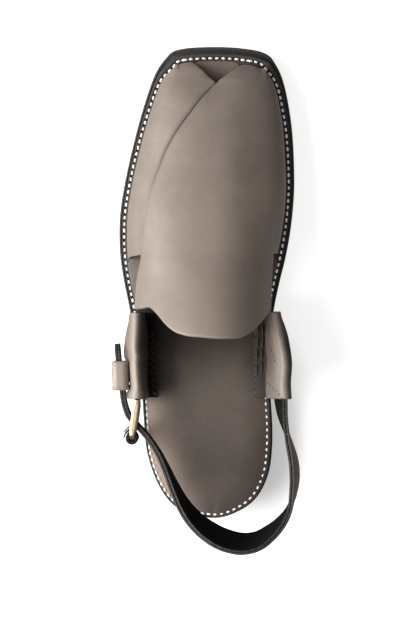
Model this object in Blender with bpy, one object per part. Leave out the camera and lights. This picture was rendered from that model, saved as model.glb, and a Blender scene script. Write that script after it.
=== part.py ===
"""Peshawari chappal, left shoe: two crossed leather panels on a stitched sole, with a buckled heel strap.

Metres, +Z up, +Y toward the toe, +X toward the medial side. The origin is on the ground under the ball.
"""
import math

import bmesh
import bpy
import numpy as np
from mathutils import Vector

# Driving sizes of the sole
SOLE_LENGTH = 0.290
BALL_WIDTH = 0.108
HEEL_WIDTH = 0.079
OUTSOLE_THICKNESS = 0.005
MIDSOLE_THICKNESS = 0.004
INSOLE_THICKNESS = 0.0025
HEEL_HEIGHT = 0.014
TOE_SPRING = 0.009
GAP = 0.0003

# Places along the sole, as shares of its length from the heel
BALL_AT = 0.65
HEEL_BREAST_AT = 0.262
SEAT_AT = 0.27
SHANK_AT = 0.56
SPRING_AT = 0.72
WIDTH_FROM = 0.25
WIDTH_TO = 0.60

# Steps of the sole's side, from the outsole's rim inwards
TREAD_TUCK = 0.0016
SIDE_GROOVE = 0.0005
RIM_BEVEL = 0.0006
HEEL_BLOCK_INSET = 0.0010
HEEL_BLOCK_TUCK = 0.0012
MIDSOLE_SIDE_INSET = 0.0018
MIDSOLE_TOE_INSET = 0.0044
FOOT_SIDE_INSET = 0.0043
FOOT_TOE_INSET = 0.0086
EDGE_ROUND = 0.0005

# Heights of the outsole's side groove and rim, as shares of its thickness, and its tuck above the tread
GROOVE_LOW = 0.36
GROOVE_HIGH = 0.42
RIM_LOW = 0.52
SIDE_TUCK = 0.00056

# How the sole layers' rows fade from the heel's and the toe's curve, and crowd toward both ends
END_FADE = 0.3
ROW_CROWDING = 0.6

# Where the footbed narrows to lie inside the upper, and over what share of the length
FOOTBED_NARROWS_AT = 0.516
FOOTBED_NARROWS_OVER = 0.03

# Upper
WALL = 0.0020
PANEL_STEP = 0.0015
PANEL_THICKNESS = 0.0026
INSTEP_HEIGHT = 0.066
INSOLE_CLEARANCE = 0.0010
INSOLE_TOE_CLEARANCE = 0.0020
STEP_ROWS = 2

# Heel strap, with the height of its upper edge above the insole's heel seat
STRAP_WIDTH = 0.020
STRAP_THICKNESS = 0.0033
STRAP_SIDE_HEIGHT = 0.0240
STRAP_REAR_HEIGHT = 0.0400
STRAP_STEP = 0.0060
HOLE_REACH = 0.0053

# Ears
EAR_SHEET = 0.0020
EAR_CLEARANCE = 0.0005
EAR_FLAP_SPREAD = 0.0032
FLANGE_WIDTH = 0.0070
FLANGE_BEND = 0.0020
FLANGE_TURN = 0.0014
FLANGE_LIFT = 0.0003

# Keeper
KEEPER_LENGTH = 0.0176
KEEPER_SHEET = 0.0018
KEEPER_CLEARANCE = 0.0005
KEEPER_CORNER = 0.0023

# Buckle
FRAME_LENGTH = 0.0256
FRAME_BAR = 0.0026
FRAME_DEPTH = 0.0030
FRAME_CLEARANCE = 0.0010
FRAME_CORNER = 0.0008
ROLLER_DIAMETER = 0.0078
ROLLER_BORE = 0.0050
PRONG_DIAMETER = 0.0024
PRONG_CLEARANCE = 0.0003
PRONG_HOLE_CLEARANCE = 0.0008
EYE_WALL = 0.0009
EYE_CORNER = 0.0004
PRONG_WRAP = (-48.0, -18.0, 12.0)

# The sole's outline: distance from the heel as a share of its length, and the distances to the lateral
# and the medial edge as shares of the sole's width there
OUTLINE = (
    # along, lateral, medial
    (0.000, -0.030, 0.105),
    (0.010, 0.170, 0.201),
    (0.030, 0.282, 0.333),
    (0.060, 0.366, 0.420),
    (0.100, 0.433, 0.476),
    (0.150, 0.482, 0.499),
    (0.200, 0.498, 0.500),
    (0.250, 0.511, 0.489),
    (0.300, 0.517, 0.471),
    (0.350, 0.514, 0.448),
    (0.400, 0.509, 0.431),
    (0.450, 0.506, 0.426),
    (0.500, 0.508, 0.433),
    (0.550, 0.510, 0.450),
    (0.600, 0.509, 0.469),
    (0.650, 0.504, 0.486),
    (0.700, 0.484, 0.495),
    (0.750, 0.457, 0.494),
    (0.800, 0.425, 0.488),
    (0.850, 0.389, 0.474),
    (0.900, 0.347, 0.450),
    (0.930, 0.318, 0.429),
    (0.950, 0.294, 0.408),
    (0.965, 0.268, 0.385),
    (0.980, 0.234, 0.356),
    (0.990, 0.206, 0.306),
    (0.997, 0.139, 0.204),
    (1.000, 0.025, 0.102),
)
HEEL_CORNER_AT = 0.030
TOE_CORNER_AT = 0.965

# How far the edge faces forward where its insets leave the sides' sizes and reach the toe's
SIDE_TURN = 0.20
TOE_TURN = 0.90

# The upper's sections: crown height above the insole as a share of the instep height, and how square
# the section is
SECTIONS = (
    # along, height, square
    (0.380, 1.000, 2.30),
    (0.440, 0.925, 2.30),
    (0.500, 0.850, 2.30),
    (0.556, 0.780, 2.30),
    (0.620, 0.700, 2.30),
    (0.700, 0.590, 2.35),
    (0.780, 0.480, 2.45),
    (0.850, 0.385, 2.60),
    (0.900, 0.290, 2.80),
    (0.930, 0.205, 3.00),
    (0.955, 0.110, 3.20),
    (0.970, 0.030, 3.40),
)

# The upper's first rows behind the toe: where they start on the sides, how much of the toe's curve they
# keep, and the place of their crown
TOE_ROWS = (
    # side, curve, crown
    (0.952, 1.00, 0.970),
    (0.949, 0.97, 0.966),
    (0.941, 0.78, 0.956),
    (0.932, 0.42, 0.942),
    (0.926, 0.00, 0.926),
)

# The last is wider than the foot line behind the wings, where the tongue is free
BODY = (
    # along, lateral, medial
    (0.370, -0.525, 0.462),
    (0.440, -0.495, 0.430),
    (0.500, -0.470, 0.407),
    (0.556, -0.469, 0.412),
)
BODY_BLEND = 0.05

# The lateral edge of the upper panel, from the tongue's corner to the toe's V, and the tongue's medial
# edge, as shares of the sole's width there
PANEL_EDGE = (
    # along, across
    (0.438, -0.458),
    (0.500, -0.417),
    (0.556, -0.384),
    (0.625, -0.355),
    (0.688, -0.325),
    (0.745, -0.272),
    (0.780, -0.236),
    (0.818, -0.179),
    (0.856, -0.107),
    (0.899, -0.020),
    (0.926, 0.048),
)
TONGUE_EDGE = (
    # along, across
    (0.436, 0.392),
    (0.500, 0.372),
    (0.556, 0.374),
    (0.700, 0.372),
    (0.800, 0.350),
    (0.900, 0.325),
    (0.970, 0.270),
)
WING_END_AT = 0.556
V_LATERAL = -0.097
V_MEDIAL = 0.218

# The tongue's rear edge: distance across from its lateral corner as a share of its width there, and the
# place along the sole
TONGUE_REAR = (
    # across, along
    (0.000, 0.440),
    (0.050, 0.441),
    (0.110, 0.443),
    (0.160, 0.430),
    (0.215, 0.409),
    (0.270, 0.396),
    (0.340, 0.389),
    (0.500, 0.384),
    (0.700, 0.382),
    (0.820, 0.386),
    (0.890, 0.397),
    (0.945, 0.415),
    (1.000, 0.437),
)
WING_ROWS = 13
TONGUE_ROWS = 7
LATERAL_COLUMNS = 4
TONGUE_SHARES = (0.0, 0.05, 0.11, 0.19, 0.30, 0.42, 0.55, 0.68, 0.80, 0.89, 0.95, 1.0)
MEDIAL_COLUMNS = 4

# The heel strap's route, by its upper edge, from the tail round the heel to the medial ear: across as a
# share of the sole's width there, along as a share of its length, how far the edge has risen from the
# side height to the rear height, and its outward lean in degrees
STRAP_ROUTE = (
    # across, along, rise, lean
    (-0.631, 0.371, 0.00, 0.0),
    (-0.648, 0.335, 0.00, 0.0),
    (-0.652, 0.274, 0.00, 0.0),
    (-0.645, 0.254, 0.00, 0.0),
    (-0.630, 0.237, 0.00, 0.0),
    (-0.603, 0.219, 0.00, 0.0),
    (-0.565, 0.207, 0.01, 0.0),
    (-0.534, 0.198, 0.03, 0.0),
    (-0.461, 0.175, 0.10, 0.0),
    (-0.381, 0.141, 0.22, 1.0),
    (-0.335, 0.114, 0.34, 3.0),
    (-0.273, 0.069, 0.52, 9.0),
    (-0.227, 0.038, 0.66, 14.0),
    (-0.159, 0.006, 0.80, 20.0),
    (-0.068, -0.022, 0.92, 27.0),
    (0.053, -0.045, 1.00, 32.0),
    (0.148, -0.055, 1.00, 32.0),
    (0.234, -0.059, 1.00, 29.0),
    (0.321, -0.057, 0.98, 26.0),
    (0.408, -0.048, 0.95, 22.0),
    (0.495, -0.028, 0.90, 17.0),
    (0.565, -0.004, 0.84, 10.0),
    (0.613, 0.023, 0.78, 0.0),
    (0.636, 0.072, 0.66, -11.0),
    (0.634, 0.119, 0.50, -12.0),
    (0.608, 0.166, 0.34, -6.0),
    (0.590, 0.213, 0.18, 6.0),
    (0.590, 0.254, 0.06, 18.0),
    (0.577, 0.290, 0.00, 18.0),
    (0.566, 0.330, 0.00, 18.0),
    (0.523, 0.370, -0.06, 16.0),
    (0.474, 0.405, -0.18, 12.0),
    (0.434, 0.434, -0.30, 8.0),
    (0.428, 0.450, -0.34, 7.0),
)
STRAP_TAIL_AT = 0.371
STRAP_END_AT = 0.385
STRAP_SPANS = 3

# The lateral ear's core, which is the buckle's front end: across as a share of the sole's width, the top
# as a share of the frame's height below the frame's top, and how wide and how bulged the tube is
BUCKLE_EAR = (
    # along, across, drop, wide, bulge, spread
    (0.257, -0.535, 0.00, 1.00, 0.5, 0.3),
    (0.266, -0.533, 0.00, 1.00, 0.2, 0.4),
    (0.277, -0.530, 0.00, 0.60, 0.0, 0.5),
    (0.300, -0.528, 0.01, 0.50, 0.0, 0.6),
    (0.328, -0.520, 0.01, 0.50, 0.0, 0.8),
    (0.343, -0.510, 0.02, 0.50, 0.6, 0.9),
    (0.362, -0.505, 0.04, 0.50, 1.5, 1.0),
    (0.386, -0.487, 0.07, 0.50, 1.3, 0.9),
    (0.412, -0.466, 0.12, 0.50, 0.9, 0.5),
    (0.436, -0.450, 0.18, 0.50, 0.5, 0.1),
)
STRAP_EAR = (
    # along, wide, bulge, spread
    (0.256, 1.00, 0.3, 1.0),
    (0.290, 1.00, 0.6, 1.0),
    (0.330, 1.00, 0.9, 1.0),
    (0.368, 1.00, 0.8, 1.0),
    (0.392, 1.00, 0.5, 0.7),
    (0.414, 0.70, 0.3, 0.3),
    (0.438, 0.35, 0.1, 0.0),
)
EAR_SPANS = 2
EAR_BULGE = 0.0022

# An ear's section as a path round its core: outward as a share of the core's half thickness with its
# clearance and half the sheet, plus shares of the bulge and of the flap's spread, and the height as a
# share of the core's height from its top
EAR_PATH = (
    # outward, bulge, spread, height
    (-0.40, 0.00, 0.0, -1.13),
    (0.45, 0.30, 0.0, -1.12),
    (0.95, 0.70, 0.0, -0.98),
    (1.00, 1.00, 0.0, -0.60),
    (1.00, 0.50, 0.0, -0.25),
    (1.00, 0.00, 0.0, -0.03),
    (0.62, 0.00, 0.0, 0.10),
    (0.00, 0.00, 0.0, 0.15),
    (-0.62, 0.00, 0.0, 0.10),
    (-1.00, 0.00, 0.0, -0.04),
    (-1.00, 0.00, 0.45, -0.35),
    (-1.00, 0.00, 1.0, -0.72),
)

# Where the strap lies in the keeper and where it passes the buckle, on the lateral side
KEEPER_AT = 0.3045
FRAME_FRONT_AT = 0.262
FRAME_FRONT_ACROSS = -0.535
FRAME_TURN = 8.0
FRAME_SEARCH_TO = 0.12

COLLECTION = "peshawari_chappal"
COLOURS = {
    # name: (red, green, blue, roughness, metallic)
    "outsole_rubber": (0.020, 0.018, 0.017, 0.60, 0.0),
    "midsole_leather": (0.060, 0.038, 0.027, 0.55, 0.0),
    "footbed_leather": (0.230, 0.190, 0.165, 0.60, 0.0),
    "taupe_leather": (0.330, 0.275, 0.235, 0.48, 0.0),
    "strap_leather": (0.300, 0.250, 0.215, 0.50, 0.0),
    "brass": (0.700, 0.500, 0.200, 0.25, 1.0),
    "black_roller": (0.015, 0.015, 0.015, 0.35, 0.0),
}


def smoothstep(share):
    """Ease a share from 0 to 1."""
    t = min(max(share, 0.0), 1.0)
    return t * t * (3.0 - 2.0 * t)


def mix(a, b, share):
    """Blend two numbers or two vectors."""
    return a * (1.0 - share) + b * share


def hermite(xs, ys, at):
    """Read a smooth curve through points at a place between the first and the last."""
    xs = np.asarray(xs, float)
    ys = np.asarray(ys, float)
    slopes = np.gradient(ys, xs)
    at = min(max(at, xs[0]), xs[-1])
    i = min(max(int(np.searchsorted(xs, at)) - 1, 0), len(xs) - 2)
    span = xs[i + 1] - xs[i]
    t = (at - xs[i]) / span
    start = (2 * t**3 - 3 * t**2 + 1) * ys[i] + (t**3 - 2 * t**2 + t) * span * slopes[i]
    end = (3 * t**2 - 2 * t**3) * ys[i + 1] + (t**3 - t**2) * span * slopes[i + 1]
    return float(start + end)


def read(rows, column, at):
    """Read one column of a table whose first column is the place."""
    return hermite([row[0] for row in rows], [row[column] for row in rows], at)


def y_at(along):
    """Turn a share of the sole's length into a place."""
    return (along - BALL_AT) * SOLE_LENGTH


def along_of(y):
    """Turn a place into a share of the sole's length."""
    return y / SOLE_LENGTH + BALL_AT


def width_at(along):
    """The sole's width goes from the heel's to the ball's through the waist."""
    return mix(HEEL_WIDTH, BALL_WIDTH, smoothstep((along - WIDTH_FROM) / (WIDTH_TO - WIDTH_FROM)))


def tread_z(y):
    """Height of the outsole's underside: flat under the ball, up to the heel and to the toe."""
    along = along_of(y)
    rise = HEEL_HEIGHT * smoothstep((SHANK_AT - along) / (SHANK_AT - SEAT_AT))
    spring = TOE_SPRING * max(0.0, (along - SPRING_AT) / (1.0 - SPRING_AT)) ** 2
    return rise + spring


def midsole_top(y):
    """Height of the midsole's upper face."""
    return tread_z(y) + OUTSOLE_THICKNESS + GAP + MIDSOLE_THICKNESS


def insole_top(y):
    """Height of the footbed."""
    return midsole_top(y) + GAP + INSOLE_THICKNESS


def closed_curve(corners, count):
    """Resample a smooth closed curve through the corners at even distances."""
    wrapped = np.vstack([corners[-3:], corners, corners[:3]])
    steps = np.sqrt(np.linalg.norm(np.diff(wrapped, axis=0), axis=1))
    places = np.concatenate([[0.0], np.cumsum(steps)])
    dense = np.linspace(places[3], places[3 + len(corners)], 3000)
    points = np.array([[hermite(places, wrapped[:, axis], at) for axis in (0, 1)] for at in dense])
    lengths = np.concatenate([[0.0], np.cumsum(np.linalg.norm(np.diff(points, axis=0), axis=1))])
    even = np.linspace(0.0, lengths[-1], count, endpoint=False)
    return np.column_stack([np.interp(even, lengths, points[:, axis]) for axis in (0, 1)])


class SoleEdge:
    """The sole's outline, clockwise from the heel up the lateral side, with its outward directions."""

    COUNT = 1200

    def __init__(self):
        lateral = [(-row[1] * width_at(row[0]), y_at(row[0])) for row in OUTLINE]
        medial = [(row[2] * width_at(row[0]), y_at(row[0])) for row in reversed(OUTLINE)]
        self.points = closed_curve(np.array(lateral + medial), self.COUNT)
        tangent = np.roll(self.points, -1, axis=0) - np.roll(self.points, 1, axis=0)
        tangent /= np.linalg.norm(tangent, axis=1)[:, None]
        self.outward = np.column_stack([-tangent[:, 1], tangent[:, 0]])
        self.toe = int(np.argmax(self.points[:, 1]))

    def index(self, along, side):
        """Find where a side of the outline passes a place; side is -1 for lateral and 1 for medial."""
        y = y_at(along)
        lateral = self.points[: self.toe, 1]
        medial = self.points[self.toe:, 1][::-1]
        if side < 0:
            start = int(np.argmin(lateral))
            return start + float(np.interp(y, lateral[start:], np.arange(len(lateral) - start)))
        start = int(np.argmin(medial))
        back = float(np.interp(y, medial[start:], np.arange(len(medial) - start)))
        return self.COUNT - 1 - start - back

    def at(self, index, inset):
        """A point of the outline moved inwards by an inset that may differ at the toe."""
        low = math.floor(index)
        share = index - low
        a, b = low % self.COUNT, (low + 1) % self.COUNT
        point = mix(self.points[a], self.points[b], share)
        outward = mix(self.outward[a], self.outward[b], share)
        amount = inset(along_of(point[1]), smoothstep((outward[1] - SIDE_TURN) / (TOE_TURN - SIDE_TURN)))
        return point - outward * amount


EDGE = SoleEdge()


def fixed_inset(side, toe=None):
    """An inset that goes from its size on the sides to its size at the toe."""
    return lambda along, front: mix(side, side if toe is None else toe, front if along > BALL_AT else 0.0)


def foot_inset(along, front):
    """Where the upper's foot stands, just inside the seam."""
    return fixed_inset(FOOT_SIDE_INSET, FOOT_TOE_INSET)(along, front)


def insole_inset(along, front):
    """The footbed fills the seam's inside at the heel and lies inside the upper's wall in front."""
    in_front = smoothstep((along - FOOTBED_NARROWS_AT) / FOOTBED_NARROWS_OVER)
    wall = mix(WALL + INSOLE_CLEARANCE, WALL + INSOLE_TOE_CLEARANCE, front)
    return foot_inset(along, front) + wall * in_front


def plan_grid(inset, alongs, columns, toe=True):
    """Plan points in rows from heel to toe; the first row follows the heel and the last the toe."""
    lateral = [EDGE.at(EDGE.index(along, -1), inset) for along in alongs]
    medial = [EDGE.at(EDGE.index(along, 1), inset) for along in alongs]
    shares = [k / columns for k in range(columns + 1)]
    heel_from = EDGE.index(alongs[0], -1)
    heel_to = EDGE.index(alongs[0], 1) - EDGE.COUNT
    heel = [EDGE.at(mix(heel_from, heel_to, u), inset) - mix(lateral[0], medial[0], u) for u in shares]
    toe_from = EDGE.index(alongs[-1], -1)
    toe_to = EDGE.index(alongs[-1], 1)
    front = [EDGE.at(mix(toe_from, toe_to, u), inset) - mix(lateral[-1], medial[-1], u) for u in shares]
    grid = []
    for i in range(len(alongs)):
        v = i / (len(alongs) - 1)
        near_heel = smoothstep(1.0 - v / END_FADE)
        near_toe = smoothstep(1.0 - (1.0 - v) / END_FADE) if toe else 0.0
        grid.append([mix(lateral[i], medial[i], u) + heel[k] * near_heel + front[k] * near_toe
                     for k, u in enumerate(shares)])
    return grid


def new_object(name, mesh_builder, material, smooth_angle=40.0):
    """Make an object from a bmesh, with its faces turned out."""
    mesh_builder.verts.index_update()
    bmesh.ops.recalc_face_normals(mesh_builder, faces=mesh_builder.faces)
    mesh = bpy.data.meshes.new(name)
    mesh_builder.to_mesh(mesh)
    mesh_builder.free()
    mesh.shade_smooth()
    mesh.set_sharp_from_angle(angle=math.radians(smooth_angle))
    mesh.materials.append(bpy.data.materials[material])
    thing = bpy.data.objects.new(name, mesh)
    bpy.data.collections[COLLECTION].objects.link(thing)
    return thing


def slab(name, layers, alongs, columns, material, toe=True):
    """A sole layer: closed outlines stacked from the bottom up, each an inset and a height function."""
    bm = bmesh.new()
    rows = len(alongs)
    ring = [(i, 0) for i in range(rows)]
    ring += [(rows - 1, k) for k in range(1, columns + 1)]
    ring += [(i, columns) for i in range(rows - 2, -1, -1)]
    ring += [(0, k) for k in range(columns - 1, 0, -1)]
    on_ring = set(ring)
    stack = []
    for level, (inset, height) in enumerate(layers):
        grid = plan_grid(inset, alongs, columns, toe)
        is_cap = level in (0, len(layers) - 1)
        wanted = [(i, k) for i in range(rows) for k in range(columns + 1) if is_cap or (i, k) in on_ring]
        stack.append({key: bm.verts.new((*grid[key[0]][key[1]], height(grid[key[0]][key[1]][1])))
                      for key in wanted})
    for level in (0, -1):
        verts = stack[level]
        for i in range(rows - 1):
            for k in range(columns):
                corners = [verts[i, k], verts[i, k + 1], verts[i + 1, k + 1], verts[i + 1, k]]
                bm.faces.new(corners if level else corners[::-1])
    for low, high in zip(stack, stack[1:]):
        for a, b in zip(ring, ring[1:] + ring[:1]):
            bm.faces.new([low[a], low[b], high[b], high[a]])
    return new_object(name, bm, material)


def sole_alongs(first, last, count):
    """Places along the sole, closer together toward both ends."""
    return [mix(first, last, mix(k / count, smoothstep(k / count), ROW_CROWDING)) for k in range(count + 1)]


def make_outsole():
    """The black outsole with its tuck, side groove, rim and rim bevel."""
    def over(share):
        return lambda y: tread_z(y) + OUTSOLE_THICKNESS * share

    rim_low = 1.0 - RIM_BEVEL / OUTSOLE_THICKNESS
    layers = (
        (fixed_inset(TREAD_TUCK), over(0.0)),
        (fixed_inset(SIDE_TUCK), over(GROOVE_LOW)),
        (fixed_inset(SIDE_TUCK + SIDE_GROOVE), over(GROOVE_HIGH)),
        (fixed_inset(0.0), over(RIM_LOW)),
        (fixed_inset(0.0), over(rim_low)),
        (fixed_inset(RIM_BEVEL), over(1.0)),
    )
    slab("outsole", layers, sole_alongs(HEEL_CORNER_AT, TOE_CORNER_AT, 26), 8, "outsole_rubber")


def make_heel_block():
    """The heel under the outsole's seat, tucked in toward the ground, with a straight breast."""
    low = fixed_inset(HEEL_BLOCK_INSET + HEEL_BLOCK_TUCK)
    high = fixed_inset(HEEL_BLOCK_INSET)
    layers = (
        (low, lambda y: 0.0),
        (high, lambda y: (HEEL_HEIGHT - GAP) * 0.5),
        (high, lambda y: HEEL_HEIGHT - GAP),
    )
    slab("heel_block", layers, sole_alongs(HEEL_CORNER_AT, HEEL_BREAST_AT, 8), 8, "outsole_rubber", toe=False)


def make_midsole():
    """The brown midsole, set back from the outsole's rim."""
    def over(share):
        return lambda y: tread_z(y) + OUTSOLE_THICKNESS + GAP + MIDSOLE_THICKNESS * share

    round_share = EDGE_ROUND / MIDSOLE_THICKNESS
    body = fixed_inset(MIDSOLE_SIDE_INSET, MIDSOLE_TOE_INSET)
    edge = fixed_inset(MIDSOLE_SIDE_INSET + EDGE_ROUND, MIDSOLE_TOE_INSET + EDGE_ROUND)
    layers = ((edge, over(0.0)), (body, over(round_share)), (body, over(1.0 - round_share)), (edge, over(1.0)))
    slab("midsole", layers, sole_alongs(HEEL_CORNER_AT, TOE_CORNER_AT, 24), 8, "midsole_leather")


def make_insole():
    """The footbed."""
    def over(share):
        return lambda y: midsole_top(y) + GAP + INSOLE_THICKNESS * share

    def edge(along, front):
        return insole_inset(along, front) + EDGE_ROUND

    round_share = EDGE_ROUND / INSOLE_THICKNESS
    layers = ((insole_inset, over(0.0)), (insole_inset, over(1.0 - round_share)), (edge, over(1.0)))
    slab("insole", layers, sole_alongs(HEEL_CORNER_AT, TOE_CORNER_AT, 26), 8, "footbed_leather")


class Last:
    """The surface of the last over which the upper is drawn, by its rows and sections."""

    def __init__(self):
        side, _, _ = TOE_ROWS[0]
        self.toe_from = EDGE.index(side, -1)
        self.toe_to = EDGE.index(side, 1)
        self.chord = (EDGE.at(self.toe_from, foot_inset), EDGE.at(self.toe_to, foot_inset))

    def toe_curve(self, u):
        """How far the foot line round the toe lies in front of its chord."""
        return EDGE.at(mix(self.toe_from, self.toe_to, u), foot_inset) - mix(*self.chord, u)

    def feet(self, side_along):
        """The two ends of a row: on the midsole along the wings, and on the last's body under the tongue."""
        free = smoothstep((WING_END_AT - side_along) / BODY_BLEND)
        ends = []
        for side, column in ((-1, 1), (1, 2)):
            foot = EDGE.at(EDGE.index(side_along, side), foot_inset)
            body = np.array([read(BODY, column, side_along) * width_at(side_along), foot[1]])
            ends.append(mix(foot, body, free))
        return ends

    def plan(self, side_along, curve, u):
        """A plan point of a row."""
        return mix(*self.feet(side_along), u) + self.toe_curve(u) * curve

    def share_at(self, side_along, curve, x):
        """The share across a row at which it passes a place."""
        shares = np.linspace(0.0, 1.0, 41)
        xs = [self.plan(side_along, curve, u)[0] for u in shares]
        return float(np.interp(x, xs, shares))

    def angle(self, u, square):
        """The section's angle at a share across."""
        c = 1.0 - 2.0 * u
        return math.acos(max(-1.0, min(1.0, math.copysign(abs(c) ** (square / 2.0), c))))

    def point(self, side_along, curve, crown_along, angle, flat=False):
        """A point of the surface by its row and its angle across the section."""
        square = read(SECTIONS, 2, crown_along)
        height = 0.0 if flat else read(SECTIONS, 1, crown_along) * INSTEP_HEIGHT + INSOLE_THICKNESS
        cosine = math.cos(angle)
        u = 0.5 * (1.0 - math.copysign(abs(cosine) ** (2.0 / square), cosine))
        place = self.plan(side_along, curve, u)
        rise = height * max(0.0, math.sin(angle)) ** (2.0 / square)
        return Vector((place[0], place[1], midsole_top(place[1]) + GAP + rise))


class UpperGrid:
    """Rows and columns of the two panels on the last: the lateral panel, and the upper panel with its tongue."""

    def __init__(self):
        self.last = Last()
        wing = [mix(TOE_ROWS[-1][0], WING_END_AT, k / WING_ROWS) for k in range(1, WING_ROWS + 1)]
        self.rows = list(TOE_ROWS) + [(along, 0.0, along) for along in wing]
        self.apex_row = len(TOE_ROWS) - 1
        self.wing_row = len(self.rows) - 1
        self.last_row = self.wing_row + TONGUE_ROWS
        self.seam = LATERAL_COLUMNS
        self.tongue_column = LATERAL_COLUMNS + len(TONGUE_SHARES) - 1
        self.last_column = self.tongue_column + MEDIAL_COLUMNS
        self.lateral = {}
        self.upper = {}
        for i, row in enumerate(self.rows):
            self.add_wing_row(i, *row)
        for k in range(1, TONGUE_ROWS + 1):
            self.add_tongue_row(self.wing_row + k, k / TONGUE_ROWS)

    def panel_edges(self, i, crown):
        """Where the lateral panel ends and the upper panel begins, which differ in front of the V's apex."""
        if i >= self.apex_row:
            x = read(PANEL_EDGE, 1, crown) * width_at(crown)
            return x, x
        apex = PANEL_EDGE[-1]
        apex_x = apex[1] * width_at(apex[0])
        share = (crown - apex[0]) / (TOE_ROWS[0][2] - apex[0])
        width = width_at(crown)
        return mix(apex_x, V_LATERAL * width, share), mix(apex_x, V_MEDIAL * width, share)

    def add_wing_row(self, i, side, curve, crown):
        """A row that stands on the midsole at both sides."""
        square = read(SECTIONS, 2, crown)
        lateral_x, upper_x = self.panel_edges(i, crown)
        tongue_x = read(TONGUE_EDGE, 1, crown) * width_at(crown)

        def angle_at(x):
            return self.last.angle(self.last.share_at(side, curve, x), square)

        def point(angle):
            return self.last.point(side, curve, crown, angle, flat=(i == 0))

        for j in range(self.seam + 1):
            self.lateral[i, j] = point(angle_at(lateral_x) * j / self.seam)
        for k, share in enumerate(TONGUE_SHARES):
            self.upper[i, self.seam + k] = point(angle_at(mix(upper_x, tongue_x, share)))
        for k in range(1, MEDIAL_COLUMNS + 1):
            angle = mix(angle_at(tongue_x), math.pi, k / MEDIAL_COLUMNS)
            self.upper[i, self.tongue_column + k] = point(angle)

    def add_tongue_row(self, i, t):
        """A row of the tongue, which is free of the sole."""
        for k, share in enumerate(TONGUE_SHARES):
            along = mix(WING_END_AT, read(TONGUE_REAR, 1, share), t)
            width = width_at(along)
            x = mix(read(PANEL_EDGE, 1, along), read(TONGUE_EDGE, 1, along), share) * width
            u = self.last.share_at(along, 0.0, x)
            angle = self.last.angle(u, read(SECTIONS, 2, along))
            self.upper[i, self.seam + k] = self.last.point(along, 0.0, along, angle)

    def cells(self):
        """The corner keys of each panel's cells."""
        lateral = [(i, j) for i in range(self.wing_row) for j in range(self.seam)]
        upper = [(i, j) for i in range(self.last_row) for j in range(self.seam, self.last_column)
                 if i < self.wing_row or j < self.tongue_column]
        return lateral, upper

    def directions(self):
        """Outward directions of the surface at each grid point, level where the upper stands."""
        totals = {}
        for grid, cells in zip((self.lateral, self.upper), self.cells()):
            for i, j in cells:
                corners = [grid[i, j], grid[i, j + 1], grid[i + 1, j + 1], grid[i + 1, j]]
                cross = (corners[3] - corners[1]).cross(corners[2] - corners[0])
                for corner in corners:
                    key = tuple(round(c, 6) for c in corner)
                    totals[key] = totals.get(key, Vector((0.0, 0.0, 0.0))) + cross

        def direction(grid, key):
            total = totals[tuple(round(c, 6) for c in grid[key])].copy()
            i, j = key
            if i == 0 or (i <= self.wing_row and j in (0, self.last_column)):
                total.z = 0.0
            return total.normalized()

        return ({key: direction(self.lateral, key) for key in self.lateral},
                {key: direction(self.upper, key) for key in self.upper})


def make_upper():
    """The upper: one shell with a real wall, whose upper panel steps over the lateral one."""
    grid = UpperGrid()
    lateral_out, upper_out = grid.directions()
    bm = bmesh.new()
    seam, tongue, last = grid.seam, grid.tongue_column, grid.last_column
    outer_a = {key: bm.verts.new(point) for key, point in grid.lateral.items()}
    inner_a = {key: bm.verts.new(point - lateral_out[key] * WALL) for key, point in grid.lateral.items()}
    outer_b, inner_b = {}, {}
    for (i, j), point in grid.upper.items():
        from_edge = (last - j) / STEP_ROWS if i <= grid.wing_row else 1.0
        raised = min(1.0, i / STEP_ROWS) * min(1.0, from_edge)
        on_seam = j == seam and grid.apex_row <= i <= grid.wing_row
        depth = mix(WALL, PANEL_THICKNESS - PANEL_STEP, raised)
        outer_b[i, j] = bm.verts.new(point + upper_out[i, j] * PANEL_STEP * raised)
        inner_b[i, j] = inner_a[i, j] if on_seam else bm.verts.new(point - upper_out[i, j] * depth)
    for (outer, inner), cells in zip(((outer_a, inner_a), (outer_b, inner_b)), grid.cells()):
        for i, j in cells:
            keys = [(i, j), (i, j + 1), (i + 1, j + 1), (i + 1, j)]
            bm.faces.new([outer[key] for key in keys])
            bm.faces.new([inner[key] for key in reversed(keys)])

    def close(outer, inner, path, middle=None):
        """Close the wall along an edge; middle adds a point of the other panel's face at a path's end."""
        for a, b in zip(path, path[1:]):
            corners = [outer[a], outer[b], inner[b], inner[a]]
            if middle and middle[0] == b:
                corners.insert(2, middle[1])
            if middle and middle[0] == a:
                corners.append(middle[1])
            bm.faces.new(corners)

    apex, wing, rear = grid.apex_row, grid.wing_row, grid.last_row
    close(outer_a, inner_a, [(i, 0) for i in range(wing + 1)])
    close(outer_a, inner_a, [(0, j) for j in range(seam + 1)])
    close(outer_a, inner_a, [(wing, j) for j in range(seam + 1)])
    close(outer_a, inner_a, [(i, seam) for i in range(apex + 1)])
    close(outer_b, inner_b, [(i, seam) for i in range(apex + 1)], ((apex, seam), outer_a[apex, seam]))
    close(outer_b, inner_b, [(i, seam) for i in range(wing, rear + 1)], ((wing, seam), outer_a[wing, seam]))
    close(outer_b, inner_b, [(0, j) for j in range(seam, last + 1)])
    close(outer_b, inner_b, [(i, last) for i in range(wing + 1)])
    close(outer_b, inner_b, [(wing, j) for j in range(tongue, last + 1)])
    close(outer_b, inner_b, [(i, tongue) for i in range(wing, rear + 1)])
    close(outer_b, inner_b, [(rear, j) for j in range(seam, tongue + 1)])
    for i in range(apex, wing):
        bm.faces.new([outer_a[i, seam], outer_b[i, seam], outer_b[i + 1, seam], outer_a[i + 1, seam]])
    return new_object("upper", bm, "taupe_leather")


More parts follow.
